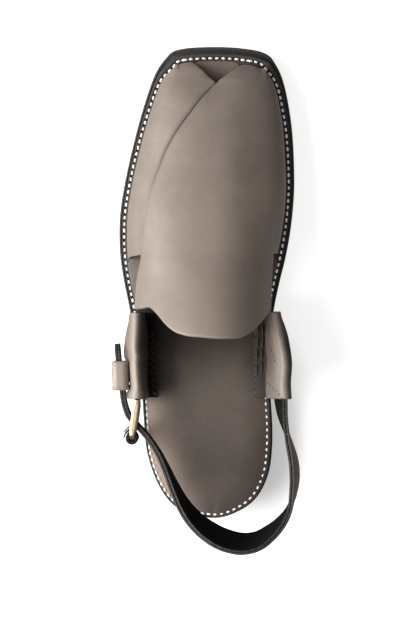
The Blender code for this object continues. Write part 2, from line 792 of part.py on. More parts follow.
class StrapRoute:
    """The heel strap's upper edge as a smooth route, with the directions of its section."""

    def __init__(self):
        seat = insole_top(y_at(0.0))
        points = []
        for across, along, rise, _ in STRAP_ROUTE:
            height = mix(STRAP_SIDE_HEIGHT, STRAP_REAR_HEIGHT, rise)
            points.append((across * width_at(along), y_at(along), seat + height))
        self.points = np.array(points)
        self.leans = np.array([row[3] for row in STRAP_ROUTE])
        steps = np.linalg.norm(np.diff(self.points[:, :2], axis=0), axis=1)
        self.places = np.concatenate([[0.0], np.cumsum(steps)])

    def top(self, at):
        """The upper edge's middle at a distance along the route."""
        return Vector([hermite(self.places, self.points[:, axis], at) for axis in range(3)])

    def frame(self, at):
        """The upper edge's middle, the section's outward direction and its upward direction."""
        small = 0.0004
        run = self.top(min(at + small, self.places[-1])) - self.top(max(at - small, 0.0))
        level = Vector((run.y, -run.x, 0.0)).normalized()
        lean = math.radians(hermite(self.places, self.leans, at))
        up = Vector((0.0, 0.0, 1.0)) * math.cos(lean) + level * math.sin(lean)
        outward = level * math.cos(lean) - Vector((0.0, 0.0, 1.0)) * math.sin(lean)
        return self.top(at), outward, up

    def distance_at(self, along, side):
        """The distance along the route at which it passes a place on one side of the shoe."""
        y = y_at(along)
        rear = int(np.argmin(self.points[:, 1]))
        dense = np.linspace(0.0, self.places[rear], 400)
        if side > 0:
            dense = np.linspace(self.places[rear], self.places[-1], 400)
        ys = np.array([hermite(self.places, self.points[:, 1], at) for at in dense])
        order = np.argsort(ys)
        return float(np.interp(y, ys[order], dense[order]))


def sheet_solid(name, outer, inner, material):
    """A closed sheet from two matching grids of points."""
    bm = bmesh.new()
    top = [[bm.verts.new(point) for point in row] for row in outer]
    low = [[bm.verts.new(point) for point in row] for row in inner]
    rows, columns = len(top), len(top[0])
    for i in range(rows - 1):
        for j in range(columns - 1):
            bm.faces.new([top[i][j], top[i][j + 1], top[i + 1][j + 1], top[i + 1][j]])
            bm.faces.new([low[i + 1][j], low[i + 1][j + 1], low[i][j + 1], low[i][j]])
        for j in (0, columns - 1):
            bm.faces.new([top[i][j], top[i + 1][j], low[i + 1][j], low[i][j]])
    for i in (0, rows - 1):
        for j in range(columns - 1):
            bm.faces.new([top[i][j], top[i][j + 1], low[i][j + 1], low[i][j]])
    return new_object(name, bm, material)


def smooth_path(corners, spans):
    """Points along a smooth curve through the corners, with the same count in each span."""
    corners = np.array(corners)
    places = np.concatenate([[0.0], np.cumsum(np.linalg.norm(np.diff(corners, axis=0), axis=1))])
    ats = []
    for a, b in zip(places, places[1:]):
        ats += [mix(a, b, k / spans) for k in range(spans)]
    ats.append(places[-1])
    return np.array([[hermite(places, corners[:, axis], at) for axis in (0, 1)] for at in ats])


def ear_rows(side, stations):
    """The two faces of an ear's sheet, through stations of its core and its shape there."""
    outer, inner = [], []
    for along, top, outward, up, half, height, bulge, flap in stations:
        reach = half + EAR_CLEARANCE + EAR_SHEET / 2.0
        edge = EDGE.at(EDGE.index(along, side), insole_inset)
        floor = insole_top(y_at(along)) + GAP + EAR_SHEET / 2.0
        low_out = side * top.x + EAR_PATH[0][0] * reach + side * up.x * EAR_PATH[0][3] * height
        turn = min(side * edge[0] + FLANGE_TURN, low_out - FLANGE_BEND)
        path = [(turn - FLANGE_WIDTH, floor), (turn - FLANGE_BEND, floor), (turn, floor + FLANGE_LIFT)]
        for out_share, bulge_share, spread, rise in EAR_PATH:
            out = out_share * reach + bulge_share * bulge * EAR_BULGE - spread * flap * EAR_FLAP_SPREAD
            point = top + outward * out + up * (rise * height)
            path.append((side * point.x, point.z))
        line = smooth_path(path, 2)
        run = np.gradient(line, axis=0)
        run /= np.linalg.norm(run, axis=1)[:, None]
        across = np.column_stack([run[:, 1], -run[:, 0]]) * EAR_SHEET / 2.0
        y = y_at(along)
        outer.append([Vector((side * x, y, z)) for x, z in line + across])
        inner.append([Vector((side * x, y, z)) for x, z in line - across])
    return outer, inner


def station_places(rows):
    """Places along an ear: its table's rows, with even steps between them."""
    places = []
    for low, high in zip(rows, rows[1:]):
        places += [mix(low[0], high[0], k / EAR_SPANS) for k in range(EAR_SPANS)]
    return places + [rows[-1][0]]


def make_strap_ear(route):
    """The medial ear, wrapped round the strap's fixed end."""
    stations = []
    for along in station_places(STRAP_EAR):
        top, outward, up = route.frame(route.distance_at(along, 1))
        outward = Vector((outward.x, 0.0, outward.z)).normalized()
        up = Vector((up.x, 0.0, up.z)).normalized()
        half = STRAP_THICKNESS / 2.0 * read(STRAP_EAR, 1, along)
        shape = (read(STRAP_EAR, 2, along), read(STRAP_EAR, 3, along))
        stations.append((along, top, outward, up, half, STRAP_WIDTH, *shape))
    sheet_solid("strap_ear", *ear_rows(1, stations), "taupe_leather")


def frame_height():
    """The buckle's height takes the strap with its clearance."""
    return STRAP_WIDTH + 2.0 * FRAME_CLEARANCE + 2.0 * FRAME_BAR


def frame_top():
    """Height of the buckle's upper edge, over the strap where it passes."""
    return insole_top(y_at(0.0)) + STRAP_SIDE_HEIGHT + FRAME_CLEARANCE + FRAME_BAR


def make_buckle_ear():
    """The lateral ear, wrapped round the buckle's front bar."""
    half_eye = FRAME_DEPTH / 2.0 + PRONG_CLEARANCE + EYE_WALL
    stations = []
    for along in station_places(BUCKLE_EAR):
        drop = read(BUCKLE_EAR, 2, along) * frame_height()
        top = Vector((read(BUCKLE_EAR, 1, along) * width_at(along), y_at(along), frame_top() - drop))
        half = half_eye * read(BUCKLE_EAR, 3, along)
        outward = Vector((-1.0, 0.0, 0.0))
        up = Vector((0.0, 0.0, 1.0))
        height = frame_height() - drop
        shape = (read(BUCKLE_EAR, 4, along), read(BUCKLE_EAR, 5, along))
        stations.append((along, top, outward, up, half, height, *shape))
    sheet_solid("buckle_ear", *ear_rows(-1, stations), "taupe_leather")


def rounded_loop(width, height, radius, steps=3):
    """A rounded rectangle round the origin, counterclockwise."""
    radius = min(radius, width / 2.0 - 1e-5, height / 2.0 - 1e-5)
    points = []
    for quarter in range(4):
        sx = 1.0 if quarter in (0, 3) else -1.0
        sy = 1.0 if quarter in (0, 1) else -1.0
        for k in range(steps + 1):
            angle = math.radians(90.0 * (quarter + k / steps))
            points.append((sx * (width / 2.0 - radius) + radius * math.cos(angle),
                           sy * (height / 2.0 - radius) + radius * math.sin(angle)))
    return points


def ring_prism(name, outer, inner, length, origin, axes, material):
    """A tube between two loops, drawn along the third axis, centred on its origin."""
    bm = bmesh.new()
    x_axis, y_axis, z_axis = axes

    def ring(loop, at):
        return [bm.verts.new(origin + x_axis * x + y_axis * y + z_axis * at) for x, y in loop]

    rings = [ring(outer, -length / 2.0), ring(outer, length / 2.0), ring(inner, length / 2.0),
             ring(inner, -length / 2.0)]
    count = len(outer)
    for a, b in zip(rings, rings[1:] + rings[:1]):
        for k in range(count):
            bm.faces.new([a[k], a[(k + 1) % count], b[(k + 1) % count], b[k]])
    return new_object(name, bm, material)


def make_keeper(route):
    """The loop round the strap's tail."""
    top, outward, up = route.frame(route.distance_at(KEEPER_AT, -1))
    run = outward.cross(up)
    inner = (STRAP_THICKNESS + 2.0 * KEEPER_CLEARANCE, STRAP_WIDTH + 2.0 * KEEPER_CLEARANCE)
    outer = tuple(size + 2.0 * KEEPER_SHEET for size in inner)
    ring_prism("keeper", rounded_loop(*outer, KEEPER_CORNER), rounded_loop(*inner, KEEPER_CLEARANCE),
               KEEPER_LENGTH, top - up * STRAP_WIDTH / 2.0, (outward, up, run), "taupe_leather")


class BucklePlace:
    """The buckle's frame stands on edge on the lateral side, a little turned outward toward its roller."""

    def __init__(self):
        turn = math.radians(FRAME_TURN)
        self.back = Vector((-math.sin(turn), -math.cos(turn), 0.0))
        self.outward = Vector((-math.cos(turn), math.sin(turn), 0.0))
        self.up = Vector((0.0, 0.0, 1.0))
        x = FRAME_FRONT_ACROSS * width_at(FRAME_FRONT_AT)
        self.front = Vector((x, y_at(FRAME_FRONT_AT), frame_top() - frame_height() / 2.0))
        self.roller = self.front + self.back * FRAME_LENGTH


def make_buckle_frame(buckle):
    """The brass frame: a rounded ring of four bars."""
    outer = rounded_loop(FRAME_LENGTH + FRAME_BAR, frame_height(), FRAME_BAR)
    inner = rounded_loop(FRAME_LENGTH - FRAME_BAR, frame_height() - 2.0 * FRAME_BAR, FRAME_CORNER)
    centre = (buckle.front + buckle.roller) / 2.0
    ring_prism("buckle_frame", outer, inner, FRAME_DEPTH, centre,
               (buckle.back, buckle.up, buckle.outward), "brass")


def circle_loop(diameter, count=20):
    """A circle round the origin."""
    return [(diameter / 2.0 * math.cos(2.0 * math.pi * k / count),
             diameter / 2.0 * math.sin(2.0 * math.pi * k / count)) for k in range(count)]


def make_buckle_roller(buckle):
    """The black roller on the frame's rear bar, which fills the space between the side bars."""
    length = frame_height() - 2.0 * FRAME_BAR - 2.0 * GAP
    ring_prism("buckle_roller", circle_loop(ROLLER_DIAMETER), circle_loop(ROLLER_BORE), length,
               buckle.roller, (buckle.back, buckle.outward, buckle.up), "black_roller")


def prong_path(buckle, crossing):
    """The prong's middle line, from its eye through the strap's hole and round the roller's outer side."""
    away = ROLLER_DIAMETER / 2.0 + PRONG_DIAMETER / 2.0 + PRONG_CLEARANCE
    start = buckle.front + buckle.back * (FRAME_BAR / 2.0 + PRONG_CLEARANCE + EYE_WALL / 2.0)
    corners = [start, mix(start, crossing, 0.5), crossing]
    for degrees in PRONG_WRAP:
        angle = math.radians(degrees)
        corners.append(buckle.roller + (buckle.outward * math.cos(angle) + buckle.back * math.sin(angle)) * away)
    return corners


def strap_crossing(route, buckle):
    """Where the strap's middle line passes through the plane of the buckle's frame."""
    ends = [route.distance_at(along, -1) for along in (FRAME_FRONT_AT, FRAME_SEARCH_TO)]
    best = min(np.linspace(*ends, 300),
               key=lambda at: abs((route.top(at) - buckle.roller).dot(buckle.outward)))
    top, _, up = route.frame(best)
    return top - up * STRAP_WIDTH / 2.0


def join(body, other, operation):
    """Apply one Boolean to a body and take the other object away."""
    modifier = body.modifiers.new("joined", "BOOLEAN")
    modifier.operation = operation
    modifier.object = other
    evaluated = body.evaluated_get(bpy.context.evaluated_depsgraph_get())
    mesh = bpy.data.meshes.new_from_object(evaluated)
    body.modifiers.remove(modifier)
    body.data = mesh
    bpy.data.objects.remove(other)


def tube(name, corners, diameter, material, steps=5, sides=12):
    """A round bar with closed ends along a smooth path in a level plane."""
    line = smooth_path([(p.x, p.y) for p in corners], steps)
    z = corners[0].z
    points = [Vector((x, y, z)) for x, y in line]
    bm = bmesh.new()
    rings = []
    for k, point in enumerate(points):
        run = (points[min(k + 1, len(points) - 1)] - points[max(k - 1, 0)]).normalized()
        level = Vector((run.y, -run.x, 0.0))
        ring = [point + (level * math.cos(a) + Vector((0.0, 0.0, math.sin(a)))) * diameter / 2.0
                for a in (2.0 * math.pi * s / sides for s in range(sides))]
        rings.append([bm.verts.new(corner) for corner in ring])
    for a, b in zip(rings, rings[1:]):
        for s in range(sides):
            bm.faces.new([a[s], a[(s + 1) % sides], b[(s + 1) % sides], b[s]])
    bm.faces.new(rings[0])
    bm.faces.new(list(reversed(rings[-1])))
    return new_object(name, bm, material)


def make_prong(buckle, crossing):
    """The prong: a bar joined to the eye that turns on the frame's front bar."""
    prong = tube("buckle_prong", prong_path(buckle, crossing), PRONG_DIAMETER, "brass")
    inner = (FRAME_BAR + 2.0 * PRONG_CLEARANCE, FRAME_DEPTH + 2.0 * PRONG_CLEARANCE)
    outer = tuple(size + 2.0 * EYE_WALL for size in inner)
    eye = ring_prism("eye", rounded_loop(*outer, EYE_WALL), rounded_loop(*inner, EYE_CORNER),
                     PRONG_DIAMETER, buckle.front, (buckle.back, buckle.outward, buckle.up), "brass")
    join(prong, eye, "UNION")


def make_heel_strap(route, buckle, crossing):
    """The heel strap, with the hole that the prong passes through."""
    start = route.distance_at(STRAP_TAIL_AT, -1)
    end = route.distance_at(STRAP_END_AT, 1)
    knots = [at for at in route.places if start < at < end]
    stations = [start] + knots + [end]
    places = []
    for a, b in zip(stations, stations[1:]):
        count = max(1, round((b - a) / STRAP_STEP))
        places += [mix(a, b, k / count) for k in range(count)]
    places.append(end)
    outer, inner = [], []
    for at in places:
        top, outward, up = route.frame(at)
        levels = [top - up * STRAP_WIDTH * k / STRAP_SPANS for k in range(STRAP_SPANS + 1)]
        outer.append([point + outward * STRAP_THICKNESS / 2.0 for point in levels])
        inner.append([point - outward * STRAP_THICKNESS / 2.0 for point in levels])
    strap = sheet_solid("heel_strap", outer, inner, "strap_leather")
    path = prong_path(buckle, crossing)
    run = (path[3] - path[1]).normalized()
    corners = [crossing - run * HOLE_REACH, crossing, crossing + run * HOLE_REACH]
    hole = tube("hole", corners, PRONG_DIAMETER + 2.0 * PRONG_HOLE_CLEARANCE, "strap_leather", steps=1)
    join(strap, hole, "DIFFERENCE")


def make_materials():
    """One plain material for each substance."""
    for name, (red, green, blue, roughness, metallic) in COLOURS.items():
        material = bpy.data.materials.new(name)
        material.use_nodes = True
        shader = material.node_tree.nodes["Principled BSDF"]
        shader.inputs["Base Color"].default_value = (red, green, blue, 1.0)
        shader.inputs["Roughness"].default_value = roughness
        shader.inputs["Metallic"].default_value = metallic


def main():
    """Build the shoe."""
    for thing in list(bpy.data.objects):
        bpy.data.objects.remove(thing, do_unlink=True)
    collection = bpy.data.collections.new(COLLECTION)
    bpy.context.scene.collection.children.link(collection)
    make_materials()
    make_outsole()
    make_heel_block()
    make_midsole()
    make_insole()
    make_upper()
    route = StrapRoute()
    buckle = BucklePlace()
    crossing = strap_crossing(route, buckle)
    make_strap_ear(route)
    make_buckle_ear()
    make_heel_strap(route, buckle, crossing)
    make_keeper(route)
    make_buckle_frame(buckle)
    make_buckle_roller(buckle)
    make_prong(buckle, crossing)


main()
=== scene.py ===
"""The dressed peshawari chappal: finer leather, stitches and thread, worn surfaces, light and camera.

Metres, +Z up, +Y toward the toe, +X toward the medial side, in the frame of the solids. The named sizes,
tables and curves of the part's source are repeated here, because nothing else is read from disk.
"""
import math
import random

import bmesh
import bpy
import numpy as np
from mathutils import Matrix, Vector, kdtree, noise


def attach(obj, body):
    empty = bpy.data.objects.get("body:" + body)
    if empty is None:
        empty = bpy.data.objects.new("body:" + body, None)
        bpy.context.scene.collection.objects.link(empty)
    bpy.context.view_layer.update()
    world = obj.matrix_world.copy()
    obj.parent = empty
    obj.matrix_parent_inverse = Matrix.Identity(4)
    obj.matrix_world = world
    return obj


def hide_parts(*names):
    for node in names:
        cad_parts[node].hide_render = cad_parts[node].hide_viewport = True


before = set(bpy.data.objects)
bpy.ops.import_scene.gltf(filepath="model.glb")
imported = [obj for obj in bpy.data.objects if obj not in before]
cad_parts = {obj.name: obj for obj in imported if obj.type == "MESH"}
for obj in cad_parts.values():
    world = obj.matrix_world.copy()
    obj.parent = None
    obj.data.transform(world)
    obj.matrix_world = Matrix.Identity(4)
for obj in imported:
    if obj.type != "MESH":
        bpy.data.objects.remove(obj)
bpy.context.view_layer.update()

# Driving sizes of the sole
SOLE_LENGTH = 0.290
BALL_WIDTH = 0.108
HEEL_WIDTH = 0.079
OUTSOLE_THICKNESS = 0.005
MIDSOLE_THICKNESS = 0.004
INSOLE_THICKNESS = 0.0025
HEEL_HEIGHT = 0.014
TOE_SPRING = 0.009
GAP = 0.0003

# Places along the sole, as shares of its length from the heel
BALL_AT = 0.65
HEEL_BREAST_AT = 0.262
SEAT_AT = 0.27
SHANK_AT = 0.56
SPRING_AT = 0.72
WIDTH_FROM = 0.25
WIDTH_TO = 0.60

# Steps of the sole's side, from the outsole's rim inwards
TREAD_TUCK = 0.0016
SIDE_GROOVE = 0.0005
RIM_BEVEL = 0.0006
HEEL_BLOCK_INSET = 0.0010
HEEL_BLOCK_TUCK = 0.0012
MIDSOLE_SIDE_INSET = 0.0018
MIDSOLE_TOE_INSET = 0.0044
FOOT_SIDE_INSET = 0.0043
FOOT_TOE_INSET = 0.0086

# Heights of the outsole's side groove and rim, as shares of its thickness, and its tuck above the tread
GROOVE_LOW = 0.36
GROOVE_HIGH = 0.42
RIM_LOW = 0.52
SIDE_TUCK = 0.00056

# How the sole layers' rows fade from the heel's and the toe's curve, and crowd toward both ends
END_FADE = 0.3
ROW_CROWDING = 0.6

# Where the footbed narrows to lie inside the upper, and over what share of the length
FOOTBED_NARROWS_AT = 0.541
FOOTBED_NARROWS_OVER = 0.012

# Upper
WALL = 0.0020
PANEL_STEP = 0.0015
PANEL_THICKNESS = 0.0026
INSTEP_HEIGHT = 0.066
INSOLE_CLEARANCE = 0.0010
INSOLE_TOE_CLEARANCE = 0.0020

# Heel strap, with the height of its upper edge above the insole's heel seat
STRAP_WIDTH = 0.020
STRAP_THICKNESS = 0.0033
STRAP_SIDE_HEIGHT = 0.0240
STRAP_REAR_HEIGHT = 0.0400
HOLE_REACH = 0.0053

# Ears
EAR_SHEET = 0.0020
EAR_CLEARANCE = 0.0005
EAR_FLAP_SPREAD = 0.0032
FLANGE_WIDTH = 0.0070
FLANGE_BEND = 0.0020
FLANGE_TURN = 0.0014
FLANGE_LIFT = 0.0003

# Keeper
KEEPER_LENGTH = 0.0176
KEEPER_SHEET = 0.0018
KEEPER_CLEARANCE = 0.0005

# Buckle
FRAME_LENGTH = 0.0256
FRAME_BAR = 0.0026
FRAME_DEPTH = 0.0030
FRAME_CLEARANCE = 0.0010
ROLLER_DIAMETER = 0.0078
PRONG_DIAMETER = 0.0024
PRONG_CLEARANCE = 0.0003
PRONG_HOLE_CLEARANCE = 0.0008
EYE_WALL = 0.0009
PRONG_WRAP = (-48.0, -18.0, 12.0)

# The sole's outline: distance from the heel as a share of its length, and the distances to the lateral
# and the medial edge as shares of the sole's width there
OUTLINE = (
    # along, lateral, medial
    (0.000, -0.030, 0.105),
    (0.010, 0.170, 0.201),
    (0.030, 0.282, 0.333),
    (0.060, 0.366, 0.420),
    (0.100, 0.433, 0.476),
    (0.150, 0.482, 0.499),
    (0.200, 0.498, 0.500),
    (0.250, 0.511, 0.489),
    (0.300, 0.517, 0.471),
    (0.350, 0.514, 0.448),
    (0.400, 0.509, 0.431),
    (0.450, 0.506, 0.426),
    (0.500, 0.508, 0.433),
    (0.550, 0.510, 0.450),
    (0.600, 0.509, 0.469),
    (0.650, 0.504, 0.486),
    (0.700, 0.484, 0.495),
    (0.750, 0.457, 0.494),
    (0.800, 0.425, 0.488),
    (0.850, 0.389, 0.474),
    (0.900, 0.347, 0.450),
    (0.930, 0.318, 0.429),
    (0.950, 0.294, 0.408),
    (0.965, 0.268, 0.385),
    (0.980, 0.234, 0.356),
    (0.990, 0.206, 0.306),
    (0.997, 0.139, 0.204),
    (1.000, 0.025, 0.102),
)
HEEL_CORNER_AT = 0.030
TOE_CORNER_AT = 0.965

# How far the edge faces forward where its insets leave the sides' sizes and reach the toe's
SIDE_TURN = 0.20
TOE_TURN = 0.90

# The upper's sections: crown height above the insole as a share of the instep height, and how square
# the section is
SECTIONS = (
    # along, height, square
    (0.380, 1.000, 2.30),
    (0.440, 0.925, 2.30),
    (0.500, 0.850, 2.30),
    (0.556, 0.780, 2.30),
    (0.620, 0.700, 2.30),
    (0.700, 0.590, 2.35),
    (0.780, 0.480, 2.45),
    (0.850, 0.385, 2.60),
    (0.900, 0.290, 2.80),
    (0.930, 0.205, 3.00),
    (0.955, 0.110, 3.20),
    (0.970, 0.030, 3.40),
)

# The upper's first rows behind the toe: where they start on the sides, how much of the toe's curve they
# keep, and the place of their crown
TOE_ROWS = (
    # side, curve, crown
    (0.952, 1.00, 0.970),
    (0.949, 0.97, 0.966),
    (0.941, 0.78, 0.956),
    (0.932, 0.42, 0.942),
    (0.926, 0.00, 0.926),
)

# The last is wider than the foot line behind the wings, where the tongue is free
BODY = (
    # along, lateral, medial
    (0.370, -0.525, 0.462),
    (0.440, -0.495, 0.430),
    (0.500, -0.470, 0.407),
    (0.556, -0.469, 0.412),
)
BODY_BLEND = 0.05

# The lateral edge of the upper panel, from the tongue's corner to the toe's V, and the tongue's medial
# edge, as shares of the sole's width there
PANEL_EDGE = (
    # along, across
    (0.438, -0.458),
    (0.500, -0.417),
    (0.556, -0.384),
    (0.625, -0.355),
    (0.688, -0.325),
    (0.745, -0.272),
    (0.780, -0.236),
    (0.818, -0.179),
    (0.856, -0.107),
    (0.899, -0.020),
    (0.926, 0.048),
)
TONGUE_EDGE = (
    # along, across
    (0.436, 0.392),
    (0.500, 0.372),
    (0.556, 0.374),
    (0.700, 0.372),
    (0.800, 0.350),
    (0.900, 0.325),
    (0.970, 0.270),
)
WING_END_AT = 0.556
V_LATERAL = -0.097
V_MEDIAL = 0.218

# The tongue's rear edge: distance across from its lateral corner as a share of its width there, and the
# place along the sole
TONGUE_REAR = (
    # across, along
    (0.000, 0.440),
    (0.050, 0.441),
    (0.110, 0.443),
    (0.160, 0.430),
    (0.215, 0.409),
    (0.270, 0.396),
    (0.340, 0.389),
    (0.500, 0.384),
    (0.700, 0.382),
    (0.820, 0.386),
    (0.890, 0.397),
    (0.945, 0.415),
    (1.000, 0.437),
)

# The heel strap's route, by its upper edge, from the tail round the heel to the medial ear: across as a
# share of the sole's width there, along as a share of its length, how far the edge has risen from the
# side height to the rear height, and its outward lean in degrees
STRAP_ROUTE = (
    # across, along, rise, lean
    (-0.631, 0.371, 0.00, 0.0),
    (-0.648, 0.335, 0.00, 0.0),
    (-0.652, 0.274, 0.00, 0.0),
    (-0.645, 0.254, 0.00, 0.0),
    (-0.630, 0.237, 0.00, 0.0),
    (-0.603, 0.219, 0.00, 0.0),
    (-0.565, 0.207, 0.01, 0.0),
    (-0.534, 0.198, 0.03, 0.0),
    (-0.461, 0.175, 0.10, 0.0),
    (-0.381, 0.141, 0.22, 1.0),
    (-0.335, 0.114, 0.34, 3.0),
    (-0.273, 0.069, 0.52, 9.0),
    (-0.227, 0.038, 0.66, 14.0),
    (-0.159, 0.006, 0.80, 20.0),
    (-0.068, -0.022, 0.92, 27.0),
    (0.053, -0.045, 1.00, 32.0),
    (0.148, -0.055, 1.00, 32.0),
    (0.234, -0.059, 1.00, 29.0),
    (0.321, -0.057, 0.98, 26.0),
    (0.408, -0.048, 0.95, 22.0),
    (0.495, -0.028, 0.90, 17.0),
    (0.565, -0.004, 0.84, 10.0),
    (0.613, 0.023, 0.78, 0.0),
    (0.636, 0.072, 0.66, -11.0),
    (0.634, 0.119, 0.50, -12.0),
    (0.608, 0.166, 0.34, -6.0),
    (0.590, 0.213, 0.18, 6.0),
    (0.590, 0.254, 0.06, 18.0),
    (0.577, 0.290, 0.00, 18.0),
    (0.566, 0.330, 0.00, 18.0),
    (0.523, 0.370, -0.06, 16.0),
    (0.474, 0.405, -0.18, 12.0),
    (0.434, 0.434, -0.30, 8.0),
    (0.428, 0.450, -0.34, 7.0),
)
STRAP_TAIL_AT = 0.371
STRAP_END_AT = 0.385

# The lateral ear's core, which is the buckle's front end: across as a share of the sole's width, the top
# as a share of the frame's height below the frame's top, and how wide and how bulged the tube is
BUCKLE_EAR = (
    # along, across, drop, wide, bulge, spread
    (0.257, -0.535, 0.00, 1.00, 0.5, 0.3),
    (0.266, -0.533, 0.00, 1.00, 0.2, 0.4),
    (0.277, -0.530, 0.00, 0.60, 0.0, 0.5),
    (0.300, -0.528, 0.01, 0.50, 0.0, 0.6),
    (0.328, -0.520, 0.01, 0.50, 0.0, 0.8),
    (0.343, -0.510, 0.02, 0.50, 0.6, 0.9),
    (0.362, -0.505, 0.04, 0.50, 1.5, 1.0),
    (0.386, -0.487, 0.07, 0.50, 1.3, 0.9),
    (0.412, -0.466, 0.12, 0.50, 0.9, 0.5),
    (0.436, -0.450, 0.18, 0.50, 0.5, 0.1),
)
STRAP_EAR = (
    # along, wide, bulge, spread
    (0.256, 1.00, 0.3, 1.0),
    (0.290, 1.00, 0.6, 1.0),
    (0.330, 1.00, 0.9, 1.0),
    (0.368, 1.00, 0.8, 1.0),
    (0.392, 1.00, 0.5, 0.7),
    (0.414, 0.70, 0.3, 0.3),
    (0.438, 0.35, 0.1, 0.0),
)
EAR_SPANS = 8
EAR_PATH_SPANS = 6
EAR_BULGE = 0.0022

# An ear's section as a path round its core: outward as a share of the core's half thickness with its
# clearance and half the sheet, plus shares of the bulge and of the flap's spread, and the height as a
# share of the core's height from its top
EAR_PATH = (
    # outward, bulge, spread, height
    (-0.40, 0.00, 0.0, -1.13),
    (0.45, 0.30, 0.0, -1.12),
    (0.95, 0.70, 0.0, -0.98),
    (1.00, 1.00, 0.0, -0.60),
    (1.00, 0.50, 0.0, -0.25),
    (1.00, 0.00, 0.0, -0.03),
    (0.62, 0.00, 0.0, 0.10),
    (0.00, 0.00, 0.0, 0.15),
    (-0.62, 0.00, 0.0, 0.10),
    (-1.00, 0.00, 0.0, -0.04),
    (-1.00, 0.00, 0.45, -0.35),
    (-1.00, 0.00, 1.0, -0.72),
)

# Where the strap lies in the keeper and where it passes the buckle, on the lateral side
KEEPER_AT = 0.3045
FRAME_FRONT_AT = 0.262
FRAME_FRONT_ACROSS = -0.535
FRAME_TURN = 8.0
FRAME_SEARCH_TO = 0.12

# The dressed sole's heel curve is an average over this many points each way, up to this place, and
# fades over the last stretch before it
HEEL_EASE = 11
HEEL_EASE_TO = 0.12
HEEL_EASE_OVER = 0.05

# Finer rows and columns of the dressed pieces
EDGE_SHARES = (0.0, 0.12, 0.40, 1.0)
EDGE_RADIUS = 0.0008
TOE_FINE = 4
FINE_WING_ROWS = 56
FINE_TONGUE_ROWS = 30
FINE_LATERAL = 16
FINE_TONGUE = 48
FINE_MEDIAL = 16
STRAP_FINE = 12
STRAP_PITCH = 0.0022
STRAP_EASE = 7
STRAP_EDGE = 0.0005
EAR_EDGE = 0.0006
TAIL_ROUND = 0.007
TAIL_NARROW = 0.8

# Waves of the strap's faces and of its edges: height, and scale along the strap
STRAP_WAVE = (0.0002, 60.0)
STRAP_EDGE_WAVE = (0.00018, 300.0)

# White stitches of the welt: inset of their line by the place along the sole, on each side
WELT = (
    # along, lateral, medial
    (0.00, 0.0027, 0.0027),
    (0.05, 0.0023, 0.0031),
    (0.12, 0.0022, 0.0034),
    (0.25, 0.0026, 0.0034),
    (0.45, 0.0031, 0.0034),
    (0.70, 0.0034, 0.0036),
    (0.80, 0.0035, 0.0039),
    (0.90, 0.0037, 0.0044),
    (1.00, 0.0040, 0.0046),
)
STITCH_TOE_INSET = 0.0073
STITCH_CORNER = 0.0012
STITCH_PITCH = 0.0040
STITCH_LENGTH = 0.0026
STITCH_WIDTH = 0.0013
STITCH_LIFT = 0.0001
STITCH_SINK = 0.0004
STITCH_RINGS = 9
STITCH_SIDES = 10
STITCH_BLUNT = 3.2
STITCH_TIP = 0.08
STITCH_FLAT = 0.8
STITCH_TURN = 7.0

# The welt's stitches are longer at the toe's corners: from this place on, the middle between the corners,
# their distance from it, their half width, and how much longer the stitches are
CORNERS_FROM = 0.93
CORNERS_MIDDLE = 0.0055
CORNERS_APART = 0.0205
CORNERS_WIDTH = 0.0022
CORNERS_LONGER = 0.6

# Groove of the welt, the place where its leather turns from taupe to brown, and the heel's lifts
GROOVE_WIDTH = 0.0013
GROOVE_DEPTH = 0.0005
WELT_TAUPE_TO = 0.36
HEEL_LIFTS = 4

# The footbed's crown: how high its middle stands over the solid's, how far its rim falls and over what width
CROWN_RISE = 0.0012
CROWN_FALL = 0.0030
CROWN_WIDTH = 0.018
PRESS_FROM_RIM = 0.01

# The footbed's front reaches into the toe's V: how far inside the V's sides, over what width and length
V_INSIDE = 0.001
V_SIDE_OVER = 0.006
V_FRONT_OVER = 0.012

# Where the footbed widens to the stitched rim behind the ears, and how far the rim reaches past the
# stitches on the lateral and the medial side
RIM_FROM = 0.40
RIM_OVER = 0.05
RIM_MARGINS = (0.0006, 0.0022)
RIM_STITCH_LIFT = 0.0014

# Painted light on the footbed: it is lighter near its lateral rim behind the ears, and in the toe's V; each
# pair is a place and the stretch over which it sets in, negative where that is rearward or lateral
RIM_LIGHT = 1.0
RIM_LIGHT_WIDTH = 0.015
RIM_LIGHT_INNER = (0.004, -0.02)
RIM_LIGHT_TO = 0.385
RIM_LIGHT_OVER = -0.02
TOE_LIGHT = 0.30
TOE_LIGHT_FROM = 0.90
TOE_LIGHT_OVER = 0.01

# Painted shade on the footbed: it is darker beside the lateral ear, under the tongue, on the medial side and
# at the heel: how dark at most, and pairs as above
SHADE_FRONT = (-0.050, -0.010)
SHADE_MOST = 0.92
SHADE_REAR = (-0.119, 0.012)
SHADE_INNER = (-0.010, -0.026)
TONGUE_SHADE = 0.50
TONGUE_SHADE_REAR = (-0.104, 0.028)
MEDIAL_SHADE = 0.50
MEDIAL_SHADE_REAR = (-0.119, 0.030)
MEDIAL_SHADE_INNER = (0.008, 0.022)
HEEL_SHADE = 0.36
HEEL_SHADE_FRONT = (-0.118, -0.04)
HEEL_SHADE_LATERAL = (-0.030, 0.02)

# Where the foot has pressed the footbed
FOOTBED_MARKS = (
    # x, y, half width, half length, depth
    (0.000, -0.145, 0.020, 0.026, 0.0007),
    (-0.002, 0.005, 0.030, 0.030, 0.0005),
)

# Soft troughs and ridges of the upper: a line, how wide, and outward height
CREASES = (
    # x, y, x, y, width, height
    (-0.0440, -0.034, -0.0420, 0.008, 0.0032, -0.0014),
    (0.0415, -0.036, 0.0420, 0.004, 0.0032, -0.0014),
)
CREASE_END = 0.12
SURFACE_WAVE = 0.00022
SURFACE_WAVE_SCALE = 45.0

